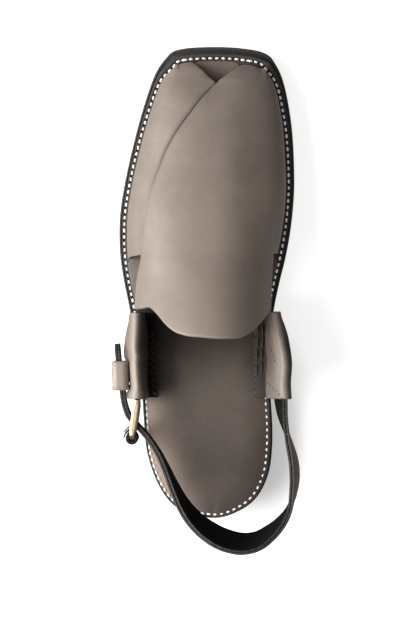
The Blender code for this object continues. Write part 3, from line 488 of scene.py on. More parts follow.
# How far the stitches draw the upper's foot inward, by the place along the sole, and up to what height
FOOT_PINCH = (
    # along, lateral, medial
    (0.55, 0.0006, 0.0010),
    (0.70, 0.0007, 0.0013),
    (0.85, 0.0008, 0.0018),
    (0.95, 0.0009, 0.0021),
)
FOOT_PINCH_HEIGHT = 0.016

# The lateral wing's end slants, from this place rearward
WING_SLANT = 0.0022
WING_SLANT_FROM = (0.60, -0.045)

# How the upper's rows and columns fade at its edges, and how much of its wall a rounded edge takes
FADE_COLUMNS = 4.0
TOE_FADE = 4.0
MEDIAL_FADE = 0.8
WALL_ROUND = 0.42
INNER_ROUND = 0.6
THIN_OVER = 0.006

# How sharp the upper panel's step is, by the place along the sole, and how wide it is where it is soft
SEAM_FADE = (
    # along, sharp
    (0.540, 0.70),
    (0.570, 0.45),
    (0.610, 0.15),
    (0.660, 0.12),
    (0.700, 0.30),
    (0.750, 0.60),
    (0.820, 0.85),
    (0.930, 0.90),
)
SEAM_FADE_WIDTH = 0.020
SEAM_LIP = 0.30
SEAM_RISE = 0.72
SEAM_END_OVER = 0.030

# The upper is darker along its seam, and painted shade darkens its foot where it meets the sole
SEAM_DARK = 0.95
SEAM_DARK_WIDTH = 0.0007
SEAM_DARK_FROM = 0.60
FOOT_DARK = 0.5
FOOT_DARK_HEIGHT = 0.0022

# Above this height it has a stripe of painted shade, up to a place near the toe, and painted light on its
# medial side behind another place; each with its place across and its width
LIGHT_HEIGHT = 0.006
MID_SHADE = 0.24
MID_SHADE_STRIPE = (0.021, 0.010)
MID_SHADE_TO = 0.93
MID_SHADE_OVER = -0.03
SIDE_LIGHT = 0.42
SIDE_LIGHT_INNER = (0.029, 0.009)
SIDE_LIGHT_TO = 0.78
SIDE_LIGHT_OVER = -0.04

# How much painted light lightens the middle of the upper, or painted shade darkens it where negative, by the
# place along the sole, and where that sets in from each side
CENTRE_LATERAL = (-0.036, 0.03)
CENTRE_MEDIAL = (0.052, -0.022)
CENTRE_LIGHT = (
    # along, light
    (0.38, 0.68),
    (0.44, 0.54),
    (0.52, 0.30),
    (0.66, 0.15),
    (0.82, -0.09),
    (0.95, -0.09),
)

# How much further the dressed lateral ear's outer wall swells beside the keeper
EAR_FILL = (
    # along, swell
    (0.257, 0.90),
    (0.268, 0.85),
    (0.285, 0.72),
    (0.300, 0.72),
    (0.322, 0.85),
    (0.336, 1.25),
    (0.343, 1.35),
    (0.352, 0.85),
    (0.364, 0.15),
    (0.380, 0.15),
    (0.415, 0.00),
)

# Dark thread and slits of the ears: face, first and last place along, first and last place across, pitch,
# how much of the pitch it fills, and width
STRAP_EAR_THREADS = (
    ("inner", 0.02, 0.62, 0.020, 0.020, 0.0034, 0.62, 0.0008),
    ("inner", 0.22, 0.78, 0.055, 0.058, 0.0080, 1.35, 0.0010),
    ("inner", 0.24, 0.74, 0.098, 0.102, 0.0080, 1.35, 0.0009),
    ("outer", 0.64, 0.88, 0.915, 0.900, 0.0036, 0.55, 0.0006),
    ("outer", 0.48, 0.35, 0.920, 0.870, 0.0036, 0.55, 0.0006),
    ("outer", 0.21, 0.03, 0.960, 0.740, 0.0034, 0.60, 0.0006),
)
BUCKLE_EAR_THREADS = (
    ("inner", 0.04, 0.80, 0.045, 0.045, 0.0042, 0.60, 0.0009),
    ("inner", 0.06, 0.78, 0.062, 0.062, 0.0042, 0.60, 0.0009),
)

THREAD_FLAT = 0.7
THREAD_LIFT = 0.0001
THREAD_SINK = 0.0003
THREAD_SAMPLES = 60

# How dark the ears' leather is, as painted shade on the flanges, the flaps and the sides turned from the key
# light, and where negative as a painted highlight along the crest: by the share across their sheet from the
# flange's edge, at their rear, middle and front; the narrow dark rows are the strap ear's slits
STRAP_EAR_TONE = (
    # across, rear, middle, front
    (0.000, 0.30, 0.45, 0.65),
    (0.036, 0.30, 0.50, 0.70),
    (0.070, 0.40, 0.62, 0.75),
    (0.107, 0.60, 0.78, 0.85),
    (0.200, 0.60, 0.78, 0.85),
    (0.360, 0.85, 0.85, 0.85),
    (0.570, 0.80, 0.82, 0.80),
    (0.620, 0.70, 0.82, 0.55),
    (0.670, 0.45, 0.80, 0.25),
    (0.714, 0.18, 0.68, 0.20),
    (0.755, 0.08, 0.38, 0.40),
    (0.800, 0.14, 0.12, 0.62),
    (0.857, 0.30, 0.14, 0.80),
    (0.890, 0.34, 0.42, 0.84),
    (0.930, 0.36, 0.64, 0.86),
    (1.000, 0.38, 0.74, 0.88),
)
BUCKLE_EAR_TONE = (
    # across, rear, middle, front
    (0.000, 0.85, 0.94, 0.96),
    (0.180, 0.92, 0.97, 0.97),
    (0.240, 0.30, 0.30, 0.30),
    (0.300, 0.10, 0.10, 0.10),
    (0.520, 0.10, 0.10, 0.10),
    (0.580, -0.20, -0.25, -0.20),
    (0.640, -0.30, -0.50, -0.30),
    (0.690, -0.10, -0.05, 0.05),
    (0.735, 0.15, 0.30, 0.38),
    (0.790, 0.42, 0.62, 0.70),
    (0.857, 0.66, 0.82, 0.86),
    (1.000, 0.80, 0.93, 0.95),
)

# The dressed keeper turns part of the way upright and is plumper, with rolled rims: height, distance from
# the rim and width of each swell
KEEPER_UPRIGHT = 0.8
KEEPER_PLUMP = 0.0010
# Painted light: the keeper's leather is made lighter all over than the ears' same leather, by this share
KEEPER_LIGHT = 0.60
KEEPER_STEPS = 24
KEEPER_RIM = 0.0009
KEEPER_RIM_INSIDE = 0.0002
KEEPER_SWELLS = ((0.00035, 0.0013, 0.0009), (-0.00022, 0.0034, 0.0008))

# The dressed frame's bar is deeper between its ends, and the roller fits it closely
FRAME_PLUMP = 0.0008
PLUMP_FRONT = 0.002
PLUMP_REAR = 0.001
PLUMP_OVER = 0.004
FRAME_SQUARE = 0.85
FRAME_SIDES = 20
ROLLER_FIT = 0.0002
ROLLER_SIDES = 40
PRONG_TIP = 0.45
TIP_SHARE = 0.25

ROLLER_SECTION = (
    # outward, along, as shares
    (1.0, -0.92), (1.0, 0.92), (0.9, 0.97), (0.6, 1.0), (-0.6, 1.0), (-0.9, 0.98), (-1.0, 0.95), (-1.0, -0.95),
    (-0.9, -0.98), (-0.6, -1.0), (0.6, -1.0), (0.9, -0.97),
)
EYE_SECTION = (
    # outward, along, as shares
    (1.0, -0.8), (1.0, 0.8), (0.6, 1.0), (-0.6, 1.0), (-1.0, 0.8), (-1.0, -0.8), (-0.6, -1.0), (0.6, -1.0),
)

# Colours, and what share of its colour the leather keeps where its tone is 1, painted shade or a dark seam,
# or -1, painted light, more on the footbed; painted shade also dulls its gloss to the dark gloss share
TAUPE = (0.180, 0.144, 0.121)
FOOTBED = (0.080, 0.059, 0.0475)
DARK_SHARE = 0.06
DARK_GLOSS = 0.15
LIGHT_SHARE = 1.60
FOOTBED_LIGHT = 2.60
RUBBER = (0.011, 0.0107, 0.0105)
THREAD = (0.82, 0.81, 0.79)
BRASS = (0.66, 0.50, 0.33)

# Light and camera
LIGHT_AIM = (0.0, -0.04, 0.02)
LIGHTS = (
    # name, place, size, power, colour
    ("key", (-1.45, -0.20, 1.22), (1.6, 1.3), 66.0, (1.0, 1.0, 0.99)),
    ("edge", (-1.60, -0.05, 0.36), (1.4, 0.45), 26.0, (1.0, 1.0, 1.0)),
    ("top", (-0.10, -0.35, 2.2), (1.6, 1.6), 9.0, (1.0, 0.99, 0.98)),
)
WORLD_COLOUR = (1.0, 0.955, 0.91)
WORLD_STRENGTH = 0.24
FLOOR_GLOW = 0.72

# A painted shadow on the floor inside the strap's loop, where its glow is lowered: its centre, half width and
# half length, and its glow there
LOOP_SHADE = (0.038, -0.145, 0.034, 0.080)
LOOP_GLOW = 0.52
CAMERA_LENS = 148.44
CAMERA_PLACE = (0.0, -0.0618, 1.60)
SENSOR_WIDTH = 36.0
SMOOTH_ANGLE = 60.0


def smoothstep(share):
    """Ease a share from 0 to 1."""
    t = min(max(share, 0.0), 1.0)
    return t * t * (3.0 - 2.0 * t)


def ramp(at, start, over):
    """Ease from 0 at a start to 1 at the end of a stretch, which may be negative."""
    return smoothstep((at - start) / over)


def mix(a, b, share):
    """Blend two numbers or two vectors."""
    return a * (1.0 - share) + b * share


def hermite(xs, ys, at):
    """Read a smooth curve through points at a place between the first and the last."""
    xs = np.asarray(xs, float)
    ys = np.asarray(ys, float)
    slopes = np.gradient(ys, xs)
    at = min(max(at, xs[0]), xs[-1])
    i = min(max(int(np.searchsorted(xs, at)) - 1, 0), len(xs) - 2)
    span = xs[i + 1] - xs[i]
    t = (at - xs[i]) / span
    start = (2 * t**3 - 3 * t**2 + 1) * ys[i] + (t**3 - 2 * t**2 + t) * span * slopes[i]
    end = (3 * t**2 - 2 * t**3) * ys[i + 1] + (t**3 - t**2) * span * slopes[i + 1]
    return float(start + end)


def read(rows, column, at):
    """Read one column of a table whose first column is the place."""
    return hermite([row[0] for row in rows], [row[column] for row in rows], at)


def y_at(along):
    """Turn a share of the sole's length into a place."""
    return (along - BALL_AT) * SOLE_LENGTH


def along_of(y):
    """Turn a place into a share of the sole's length."""
    return y / SOLE_LENGTH + BALL_AT


def width_at(along):
    """The sole's width goes from the heel's to the ball's through the waist."""
    return mix(HEEL_WIDTH, BALL_WIDTH, smoothstep((along - WIDTH_FROM) / (WIDTH_TO - WIDTH_FROM)))


def tread_z(y):
    """Height of the outsole's underside: flat under the ball, up to the heel and to the toe."""
    along = along_of(y)
    rise = HEEL_HEIGHT * smoothstep((SHANK_AT - along) / (SHANK_AT - SEAT_AT))
    spring = TOE_SPRING * max(0.0, (along - SPRING_AT) / (1.0 - SPRING_AT)) ** 2
    return rise + spring


def midsole_top(y):
    """Height of the midsole's upper face."""
    return tread_z(y) + OUTSOLE_THICKNESS + GAP + MIDSOLE_THICKNESS


def insole_top(y):
    """Height of the footbed."""
    return midsole_top(y) + GAP + INSOLE_THICKNESS


def closed_curve(corners, count):
    """Resample a smooth closed curve through the corners at even distances."""
    wrapped = np.vstack([corners[-3:], corners, corners[:3]])
    steps = np.sqrt(np.linalg.norm(np.diff(wrapped, axis=0), axis=1))
    places = np.concatenate([[0.0], np.cumsum(steps)])
    dense = np.linspace(places[3], places[3 + len(corners)], 3000)
    points = np.array([[hermite(places, wrapped[:, axis], at) for axis in (0, 1)] for at in dense])
    lengths = np.concatenate([[0.0], np.cumsum(np.linalg.norm(np.diff(points, axis=0), axis=1))])
    even = np.linspace(0.0, lengths[-1], count, endpoint=False)
    return np.column_stack([np.interp(even, lengths, points[:, axis]) for axis in (0, 1)])


class SoleEdge:
    """The sole's outline, clockwise from the heel up the lateral side, with its outward directions."""

    COUNT = 1200

    def __init__(self):
        lateral = [(-row[1] * width_at(row[0]), y_at(row[0])) for row in OUTLINE]
        medial = [(row[2] * width_at(row[0]), y_at(row[0])) for row in reversed(OUTLINE)]
        self.points = closed_curve(np.array(lateral + medial), self.COUNT)
        shifts = range(-HEEL_EASE, HEEL_EASE + 1)
        eased = sum(np.roll(self.points, k, axis=0) for k in shifts) / len(shifts)
        for k, point in enumerate(self.points):
            self.points[k] = mix(point, eased[k], ramp(along_of(point[1]), HEEL_EASE_TO, -HEEL_EASE_OVER))
        tangent = np.roll(self.points, -1, axis=0) - np.roll(self.points, 1, axis=0)
        tangent /= np.linalg.norm(tangent, axis=1)[:, None]
        self.outward = np.column_stack([-tangent[:, 1], tangent[:, 0]])
        self.toe = int(np.argmax(self.points[:, 1]))

    def index(self, along, side):
        """Find where a side of the outline passes a place; side is -1 for lateral and 1 for medial."""
        y = y_at(along)
        lateral = self.points[: self.toe, 1]
        medial = self.points[self.toe:, 1][::-1]
        if side < 0:
            start = int(np.argmin(lateral))
            return start + float(np.interp(y, lateral[start:], np.arange(len(lateral) - start)))
        start = int(np.argmin(medial))
        back = float(np.interp(y, medial[start:], np.arange(len(medial) - start)))
        return self.COUNT - 1 - start - back

    def at(self, index, inset):
        """A point of the outline moved inwards by an inset that may differ at the toe."""
        low = math.floor(index)
        share = index - low
        a, b = low % self.COUNT, (low + 1) % self.COUNT
        point = mix(self.points[a], self.points[b], share)
        outward = mix(self.outward[a], self.outward[b], share)
        front = smoothstep((outward[1] - SIDE_TURN) / (TOE_TURN - SIDE_TURN))
        amount = inset(along_of(point[1]), front, -1 if a < self.toe else 1)
        return point - outward * amount


EDGE = SoleEdge()


def fixed_inset(side, toe=None):
    """An inset that goes from its size on the sides to its size at the toe."""
    return lambda along, front, _: mix(side, side if toe is None else toe, front if along > BALL_AT else 0.0)


def foot_inset(along, front, side):
    """Where the upper's foot stands, just inside the seam."""
    return fixed_inset(FOOT_SIDE_INSET, FOOT_TOE_INSET)(along, front, side)


def insole_inset(along, front, side):
    """The footbed fills the seam's inside at the heel and lies inside the upper's wall in front."""
    in_front = smoothstep((along - FOOTBED_NARROWS_AT) / FOOTBED_NARROWS_OVER)
    wall = mix(WALL + INSOLE_CLEARANCE, WALL + INSOLE_TOE_CLEARANCE, front)
    return foot_inset(along, front, side) + wall * in_front


def plan_grid(inset, alongs, columns, toe=True):
    """Plan points in rows from heel to toe; the first row follows the heel and the last the toe."""
    lateral = [EDGE.at(EDGE.index(along, -1), inset) for along in alongs]
    medial = [EDGE.at(EDGE.index(along, 1), inset) for along in alongs]
    shares = [k / columns for k in range(columns + 1)]
    heel_from = EDGE.index(alongs[0], -1)
    heel_to = EDGE.index(alongs[0], 1) - EDGE.COUNT
    heel = [EDGE.at(mix(heel_from, heel_to, u), inset) - mix(lateral[0], medial[0], u) for u in shares]
    toe_from = EDGE.index(alongs[-1], -1)
    toe_to = EDGE.index(alongs[-1], 1)
    front = [EDGE.at(mix(toe_from, toe_to, u), inset) - mix(lateral[-1], medial[-1], u) for u in shares]
    grid = []
    for i in range(len(alongs)):
        v = i / (len(alongs) - 1)
        near_heel = smoothstep(1.0 - v / END_FADE)
        near_toe = smoothstep(1.0 - (1.0 - v) / END_FADE) if toe else 0.0
        grid.append([mix(lateral[i], medial[i], u) + heel[k] * near_heel + front[k] * near_toe
                     for k, u in enumerate(shares)])
    return grid


def slab(name, layers, alongs, columns, materials, toe=True):
    """A sole layer: closed outlines stacked from the bottom up, each an inset, a height and a material."""
    bm = bmesh.new()
    rows = len(alongs)
    ring = [(i, 0) for i in range(rows)]
    ring += [(rows - 1, k) for k in range(1, columns + 1)]
    ring += [(i, columns) for i in range(rows - 2, -1, -1)]
    ring += [(0, k) for k in range(columns - 1, 0, -1)]
    on_ring = set(ring)
    stack = []
    for level, (inset, height, _) in enumerate(layers):
        grid = plan_grid(inset, alongs, columns, toe)
        is_cap = level in (0, len(layers) - 1)
        wanted = [(i, k) for i in range(rows) for k in range(columns + 1) if is_cap or (i, k) in on_ring]
        stack.append({key: bm.verts.new((*grid[key[0]][key[1]], height(grid[key[0]][key[1]][1])))
                      for key in wanted})
    for level in (0, -1):
        verts = stack[level]
        for i in range(rows - 1):
            for k in range(columns):
                corners = [verts[i, k], verts[i, k + 1], verts[i + 1, k + 1], verts[i + 1, k]]
                bm.faces.new(corners if level else corners[::-1]).material_index = layers[level][2]
    for (low, high), (_, _, slot) in zip(zip(stack, stack[1:]), layers):
        for a, b in zip(ring, ring[1:] + ring[:1]):
            bm.faces.new([low[a], low[b], high[b], high[a]]).material_index = slot
    return scene_object(name, bm, materials)


def sole_alongs(first, last, count):
    """Places along the sole, closer together toward both ends."""
    return [mix(first, last, mix(k / count, smoothstep(k / count), ROW_CROWDING)) for k in range(count + 1)]


class StrapRoute:
    """The heel strap's upper edge as a smooth route, with the directions of its section."""

    def __init__(self):
        seat = insole_top(y_at(0.0))
        points = []
        for across, along, rise, _ in STRAP_ROUTE:
            height = mix(STRAP_SIDE_HEIGHT, STRAP_REAR_HEIGHT, rise)
            points.append((across * width_at(along), y_at(along), seat + height))
        self.points = np.array(points)
        self.leans = np.array([row[3] for row in STRAP_ROUTE])
        steps = np.linalg.norm(np.diff(self.points[:, :2], axis=0), axis=1)
        self.places = np.concatenate([[0.0], np.cumsum(steps)])

    def top(self, at):
        """The upper edge's middle at a distance along the route."""
        return Vector([hermite(self.places, self.points[:, axis], at) for axis in range(3)])

    def frame(self, at):
        """The upper edge's middle, the section's outward direction and its upward direction."""
        small = 0.0004
        run = self.top(min(at + small, self.places[-1])) - self.top(max(at - small, 0.0))
        level = Vector((run.y, -run.x, 0.0)).normalized()
        lean = math.radians(hermite(self.places, self.leans, at))
        up = Vector((0.0, 0.0, 1.0)) * math.cos(lean) + level * math.sin(lean)
        outward = level * math.cos(lean) - Vector((0.0, 0.0, 1.0)) * math.sin(lean)
        return self.top(at), outward, up

    def distance_at(self, along, side):
        """The distance along the route at which it passes a place on one side of the shoe."""
        y = y_at(along)
        rear = int(np.argmin(self.points[:, 1]))
        dense = np.linspace(0.0, self.places[rear], 400)
        if side > 0:
            dense = np.linspace(self.places[rear], self.places[-1], 400)
        ys = np.array([hermite(self.places, self.points[:, 1], at) for at in dense])
        order = np.argsort(ys)
        return float(np.interp(y, ys[order], dense[order]))


def smooth_path(corners, spans):
    """Points along a smooth curve through the corners, with the same count in each span."""
    corners = np.array(corners)
    places = np.concatenate([[0.0], np.cumsum(np.linalg.norm(np.diff(corners, axis=0), axis=1))])
    ats = []
    for a, b in zip(places, places[1:]):
        ats += [mix(a, b, k / spans) for k in range(spans)]
    ats.append(places[-1])
    return np.array([[hermite(places, corners[:, axis], at) for axis in (0, 1)] for at in ats])


def ear_rows(side, stations):
    """The two faces of an ear's sheet, through stations of its core and its shape there."""
    outer, inner = [], []
    for along, top, outward, up, half, height, bulge, flap in stations:
        reach = half + EAR_CLEARANCE + EAR_SHEET / 2.0
        edge = EDGE.at(EDGE.index(along, side), insole_inset)
        floor = insole_top(y_at(along)) + GAP + EAR_SHEET / 2.0
        low_out = side * top.x + EAR_PATH[0][0] * reach + side * up.x * EAR_PATH[0][3] * height
        turn = min(side * edge[0] + FLANGE_TURN, low_out - FLANGE_BEND)
        path = [(turn - FLANGE_WIDTH, floor), (turn - FLANGE_BEND, floor), (turn, floor + FLANGE_LIFT)]
        for out_share, bulge_share, spread, rise in EAR_PATH:
            out = out_share * reach + bulge_share * bulge * EAR_BULGE - spread * flap * EAR_FLAP_SPREAD
            point = top + outward * out + up * (rise * height)
            path.append((side * point.x, point.z))
        line = smooth_path(path, EAR_PATH_SPANS)
        run = np.gradient(line, axis=0)
        run /= np.linalg.norm(run, axis=1)[:, None]
        across = np.column_stack([run[:, 1], -run[:, 0]]) * EAR_SHEET / 2.0
        y = y_at(along)
        outer.append([Vector((side * x, y, z)) for x, z in line + across])
        inner.append([Vector((side * x, y, z)) for x, z in line - across])
    return outer, inner


def station_places(rows):
    """Places along an ear: its table's rows, with even steps between them."""
    places = []
    for low, high in zip(rows, rows[1:]):
        places += [mix(low[0], high[0], k / EAR_SPANS) for k in range(EAR_SPANS)]
    return places + [rows[-1][0]]


def frame_height():
    """The buckle's height takes the strap with its clearance."""
    return STRAP_WIDTH + 2.0 * FRAME_CLEARANCE + 2.0 * FRAME_BAR


def frame_top():
    """Height of the buckle's upper edge, over the strap where it passes."""
    return insole_top(y_at(0.0)) + STRAP_SIDE_HEIGHT + FRAME_CLEARANCE + FRAME_BAR


def rounded_loop(width, height, radius, steps):
    """A rounded rectangle round the origin, counterclockwise."""
    radius = min(radius, width / 2.0 - 1e-5, height / 2.0 - 1e-5)
    points = []
    for quarter in range(4):
        sx = 1.0 if quarter in (0, 3) else -1.0
        sy = 1.0 if quarter in (0, 1) else -1.0
        for k in range(steps + 1):
            angle = math.radians(90.0 * (quarter + k / steps))
            points.append((sx * (width / 2.0 - radius) + radius * math.cos(angle),
                           sy * (height / 2.0 - radius) + radius * math.sin(angle)))
    return points


class BucklePlace:
    """The buckle's frame stands on edge on the lateral side, a little turned outward toward its roller."""

    def __init__(self):
        turn = math.radians(FRAME_TURN)
        self.back = Vector((-math.sin(turn), -math.cos(turn), 0.0))
        self.outward = Vector((-math.cos(turn), math.sin(turn), 0.0))
        self.up = Vector((0.0, 0.0, 1.0))
        x = FRAME_FRONT_ACROSS * width_at(FRAME_FRONT_AT)
        self.front = Vector((x, y_at(FRAME_FRONT_AT), frame_top() - frame_height() / 2.0))
        self.roller = self.front + self.back * FRAME_LENGTH


def circle_loop(diameter, count):
    """A circle round the origin."""
    return [(diameter / 2.0 * math.cos(2.0 * math.pi * k / count),
             diameter / 2.0 * math.sin(2.0 * math.pi * k / count)) for k in range(count)]


def prong_path(buckle, crossing):
    """The prong's middle line, from its eye through the strap's hole and round the roller's outer side."""
    away = ROLLER_DIAMETER / 2.0 + PRONG_DIAMETER / 2.0 + PRONG_CLEARANCE
    start = buckle.front + buckle.back * (FRAME_BAR / 2.0 + PRONG_CLEARANCE + EYE_WALL / 2.0)
    corners = [start, mix(start, crossing, 0.5), crossing]
    for degrees in PRONG_WRAP:
        angle = math.radians(degrees)
        toward = buckle.outward * math.cos(angle) + buckle.back * math.sin(angle)
        corners.append(buckle.roller + toward * away)
    return corners


def strap_crossing(route, buckle):
    """Where the strap's middle line passes through the plane of the buckle's frame."""
    ends = [route.distance_at(along, -1) for along in (FRAME_FRONT_AT, FRAME_SEARCH_TO)]
    best = min(np.linspace(*ends, 300), key=lambda at: abs((route.top(at) - buckle.roller).dot(buckle.outward)))
    top, _, up = route.frame(best)
    return top - up * STRAP_WIDTH / 2.0


def scene_object(name, bm, materials):
    """Make an object from a bmesh, with its faces turned out."""
    bm.verts.index_update()
    bmesh.ops.recalc_face_normals(bm, faces=bm.faces)
    mesh = bpy.data.meshes.new(name)
    bm.to_mesh(mesh)
    bm.free()
    mesh.shade_smooth()
    mesh.set_sharp_from_angle(angle=math.radians(SMOOTH_ANGLE))
    for material in materials:
        mesh.materials.append(bpy.data.materials[material])
    thing = bpy.data.objects.new(name, mesh)
    bpy.context.scene.collection.objects.link(thing)
    return thing


def set_tone(thing, tone):
    """Store how dark or light each point's leather is: painted shade and painted light, and dark seams."""
    layer = thing.data.attributes.new("tone", "FLOAT", "POINT")
    layer.data.foreach_set("value", [tone(vertex.co) for vertex in thing.data.vertices])


def dress(thing, slot, *nodes):
    """Put a piece on the shoe: what it rides on and the solids that it stands for; slot is not used."""
    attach(thing, "root")
    if nodes:
        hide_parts(*nodes)


def round_drop(distance, radius):
    """How far a rounded edge lies under the face at a distance from the edge."""
    inside = max(0.0, 1.0 - distance / radius)
    return radius * (1.0 - math.sqrt(1.0 - inside * inside))


def rounded_sheet(outer, inner, radius):
    """Add rows near a sheet's borders and draw its two faces together there, as a cut edge is rounded."""
    outer, inner = np.array(outer, float), np.array(inner, float)
    for axis in (0, 1):
        outer, inner = np.moveaxis(outer, axis, 0), np.moveaxis(inner, axis, 0)
        for flip in (False, True):
            if flip:
                outer, inner = outer[::-1], inner[::-1]
            length = np.linalg.norm(outer[1] - outer[0], axis=-1).mean()
            grids = []
            for grid in (outer, inner):
                extra = [grid[0] + (grid[1] - grid[0]) * min(0.9, share * radius / length)
                         for share in EDGE_SHARES]
                grids.append(np.concatenate([np.array(extra), grid[1:]]))
            outer, inner = grids
            middle = (outer + inner) / 2.0
            for k, share in enumerate(EDGE_SHARES):
                half = np.linalg.norm(outer[k] - inner[k], axis=-1)[..., None] / 2.0
                keep = 1.0 - np.minimum(round_drop(share * radius, radius), half * 0.8) / half
                outer[k] = middle[k] + (outer[k] - middle[k]) * keep
                inner[k] = middle[k] + (inner[k] - middle[k]) * keep
            if flip:
                outer, inner = outer[::-1], inner[::-1]
        outer, inner = np.moveaxis(outer, 0, axis), np.moveaxis(inner, 0, axis)
    return outer, inner


def sheet_mesh(bm, outer, inner, slots=(0, 0, 0)):
    """Add a closed sheet; slots are the materials of its outer face, its inner face and its edges."""
    top = [[bm.verts.new(point) for point in row] for row in outer]
    low = [[bm.verts.new(point) for point in row] for row in inner]
    rows, columns = len(top), len(top[0])

    def face(corners, slot):
        bm.faces.new(corners).material_index = slot

    for i in range(rows - 1):
        for j in range(columns - 1):
            rim = min(i, j, rows - 2 - i, columns - 2 - j) < 2
            face([top[i][j], top[i][j + 1], top[i + 1][j + 1], top[i + 1][j]], slots[2] if rim else slots[0])
            face([low[i + 1][j], low[i + 1][j + 1], low[i][j + 1], low[i][j]], slots[2] if rim else slots[1])
        for j in (0, columns - 1):
            face([top[i][j], top[i + 1][j], low[i + 1][j], low[i][j]], slots[2])
    for i in (0, rows - 1):
        for j in range(columns - 1):
            face([top[i][j], top[i][j + 1], low[i][j + 1], low[i][j]], slots[2])


def along_line(points, extras, pitch):
    """Even places along a polyline, with the direction and the extra vectors there."""
    points = np.array(points, float)
    places = np.concatenate([[0.0], np.cumsum(np.linalg.norm(np.diff(points, axis=0), axis=1))])
    count = max(1, round(places[-1] / pitch))
    out = []
    for k in range(count):
        at = places[-1] * (k + 0.5) / count
        point = np.array([np.interp(at, places, points[:, axis]) for axis in range(3)])
        ahead = np.array([np.interp(at + pitch * 0.2, places, points[:, axis]) for axis in range(3)])
        behind = np.array([np.interp(at - pitch * 0.2, places, points[:, axis]) for axis in range(3)])
        extra = np.array([np.interp(at, places, np.array(extras)[:, axis]) for axis in range(3)])
        out.append((Vector(point), Vector(ahead - behind).normalized(), Vector(extra).normalized()))
    return out


def stitch(bm, point, run, normal, size, sink):
    """One stitch: a plump thread whose ends dive into the leather."""
    length, width, height = size
    side = normal.cross(run).normalized()
    run = side.cross(normal).normalized()
    rings = []
    for k in range(STITCH_RINGS):
        t = -1.0 + 2.0 * k / (STITCH_RINGS - 1)
        girth = math.sqrt(max(0.0, 1.0 - abs(t) ** STITCH_BLUNT)) * (1.0 - STITCH_TIP) + STITCH_TIP
        centre = point + run * (t * length / 2.0) - normal * (sink * t * t)
        ring = []
        for s in range(STITCH_SIDES):
            a = 2.0 * math.pi * s / STITCH_SIDES
            ring.append(bm.verts.new(centre + side * (math.cos(a) * girth * width / 2.0)
                                     + normal * (math.sin(a) * girth * height / 2.0)))
        rings.append(ring)
    for a, b in zip(rings, rings[1:]):
        for s in range(STITCH_SIDES):
            bm.faces.new([a[s], a[(s + 1) % STITCH_SIDES], b[(s + 1) % STITCH_SIDES], b[s]])
    bm.faces.new(rings[0])
    bm.faces.new(list(reversed(rings[-1])))


# Materials


class Shader:
    """A Principled material with helpers for its node graph."""

    def __init__(self, name, colour, roughness, metallic=0.0, **sockets):
        self.material = bpy.data.materials.new(name)
        self.material.use_nodes = True
        self.tree = self.material.node_tree
        self.main = self.tree.nodes["Principled BSDF"]
        self.main.inputs["Base Color"].default_value = (*colour, 1.0)
        self.main.inputs["Roughness"].default_value = roughness
        self.main.inputs["Metallic"].default_value = metallic
        for socket, value in sockets.items():
            self.main.inputs[socket.replace("_", " ")].default_value = value
        self.place = self.node("ShaderNodeTexCoord").outputs["Object"]

    def node(self, kind, **inputs):
        """Add a node; an input is named by its socket or by i and its number."""
        made = self.tree.nodes.new(kind)
        for key, value in inputs.items():
            socket = made.inputs[int(key[1:])] if key[0] == "i" and key[1:].isdigit() else made.inputs[key]
            if hasattr(value, "links"):
                self.tree.links.new(value, socket)
            else:
                socket.default_value = value
        return made

    def stretched(self, x, y, z):
        """Object coordinates scaled along each axis."""
        made = self.node("ShaderNodeMapping", Vector=self.place)
        made.inputs["Scale"].default_value = (x, y, z)
        return made.outputs[0]

    def noise(self, scale, detail=3.0, rough=0.5, at=None):
        """A noise value at a scale per metre."""
        made = self.node("ShaderNodeTexNoise", Vector=at or self.place, Scale=scale, Detail=detail,
                         Roughness=rough)
        return made.outputs["Fac"]

    def cells(self, scale):
        """A grain of rounded cells at a scale per metre."""
        made = self.node("ShaderNodeTexVoronoi", Vector=self.place, Scale=scale)
        made.feature = "SMOOTH_F1"
        made.inputs["Smoothness"].default_value = 0.6
        return made.outputs["Distance"]

    def spread(self, value, low, high, to_low, to_high):
        """Map a value's range to another."""
        made = self.node("ShaderNodeMapRange", Value=value)
        for key, number in zip(("From Min", "From Max", "To Min", "To Max"), (low, high, to_low, to_high)):
            made.inputs[key].default_value = number
        return made.outputs[0]

    def math(self, operation, a, b):
        """Calculate with two values."""
        made = self.node("ShaderNodeMath", i0=a, i1=b)
        made.operation = operation
        return made.outputs[0]

    def blend(self, share, a, b):
        """Mix two colours, each a triple or a socket."""
        made = self.node("ShaderNodeMix")
        made.data_type = "RGBA"
        self.tree.links.new(share, made.inputs["Factor"])
        for socket, colour in zip((made.inputs[6], made.inputs[7]), (a, b)):
            if hasattr(colour, "links"):
                self.tree.links.new(colour, socket)
            else:
                socket.default_value = (*colour, 1.0)
        return made.outputs[2]

    def join(self, socket, value):
        """Lead a value into the finish."""
        self.tree.links.new(value, self.main.inputs[socket])

    def bump(self, height, distance):
        """Raise the surface by a value times a distance."""
        made = self.node("ShaderNodeBump", Height=height, Strength=1.0, Distance=distance)
        self.join("Normal", made.outputs[0])


def shade(colour, factor):
    """A lighter or darker colour."""
    return tuple(c * factor for c in colour)


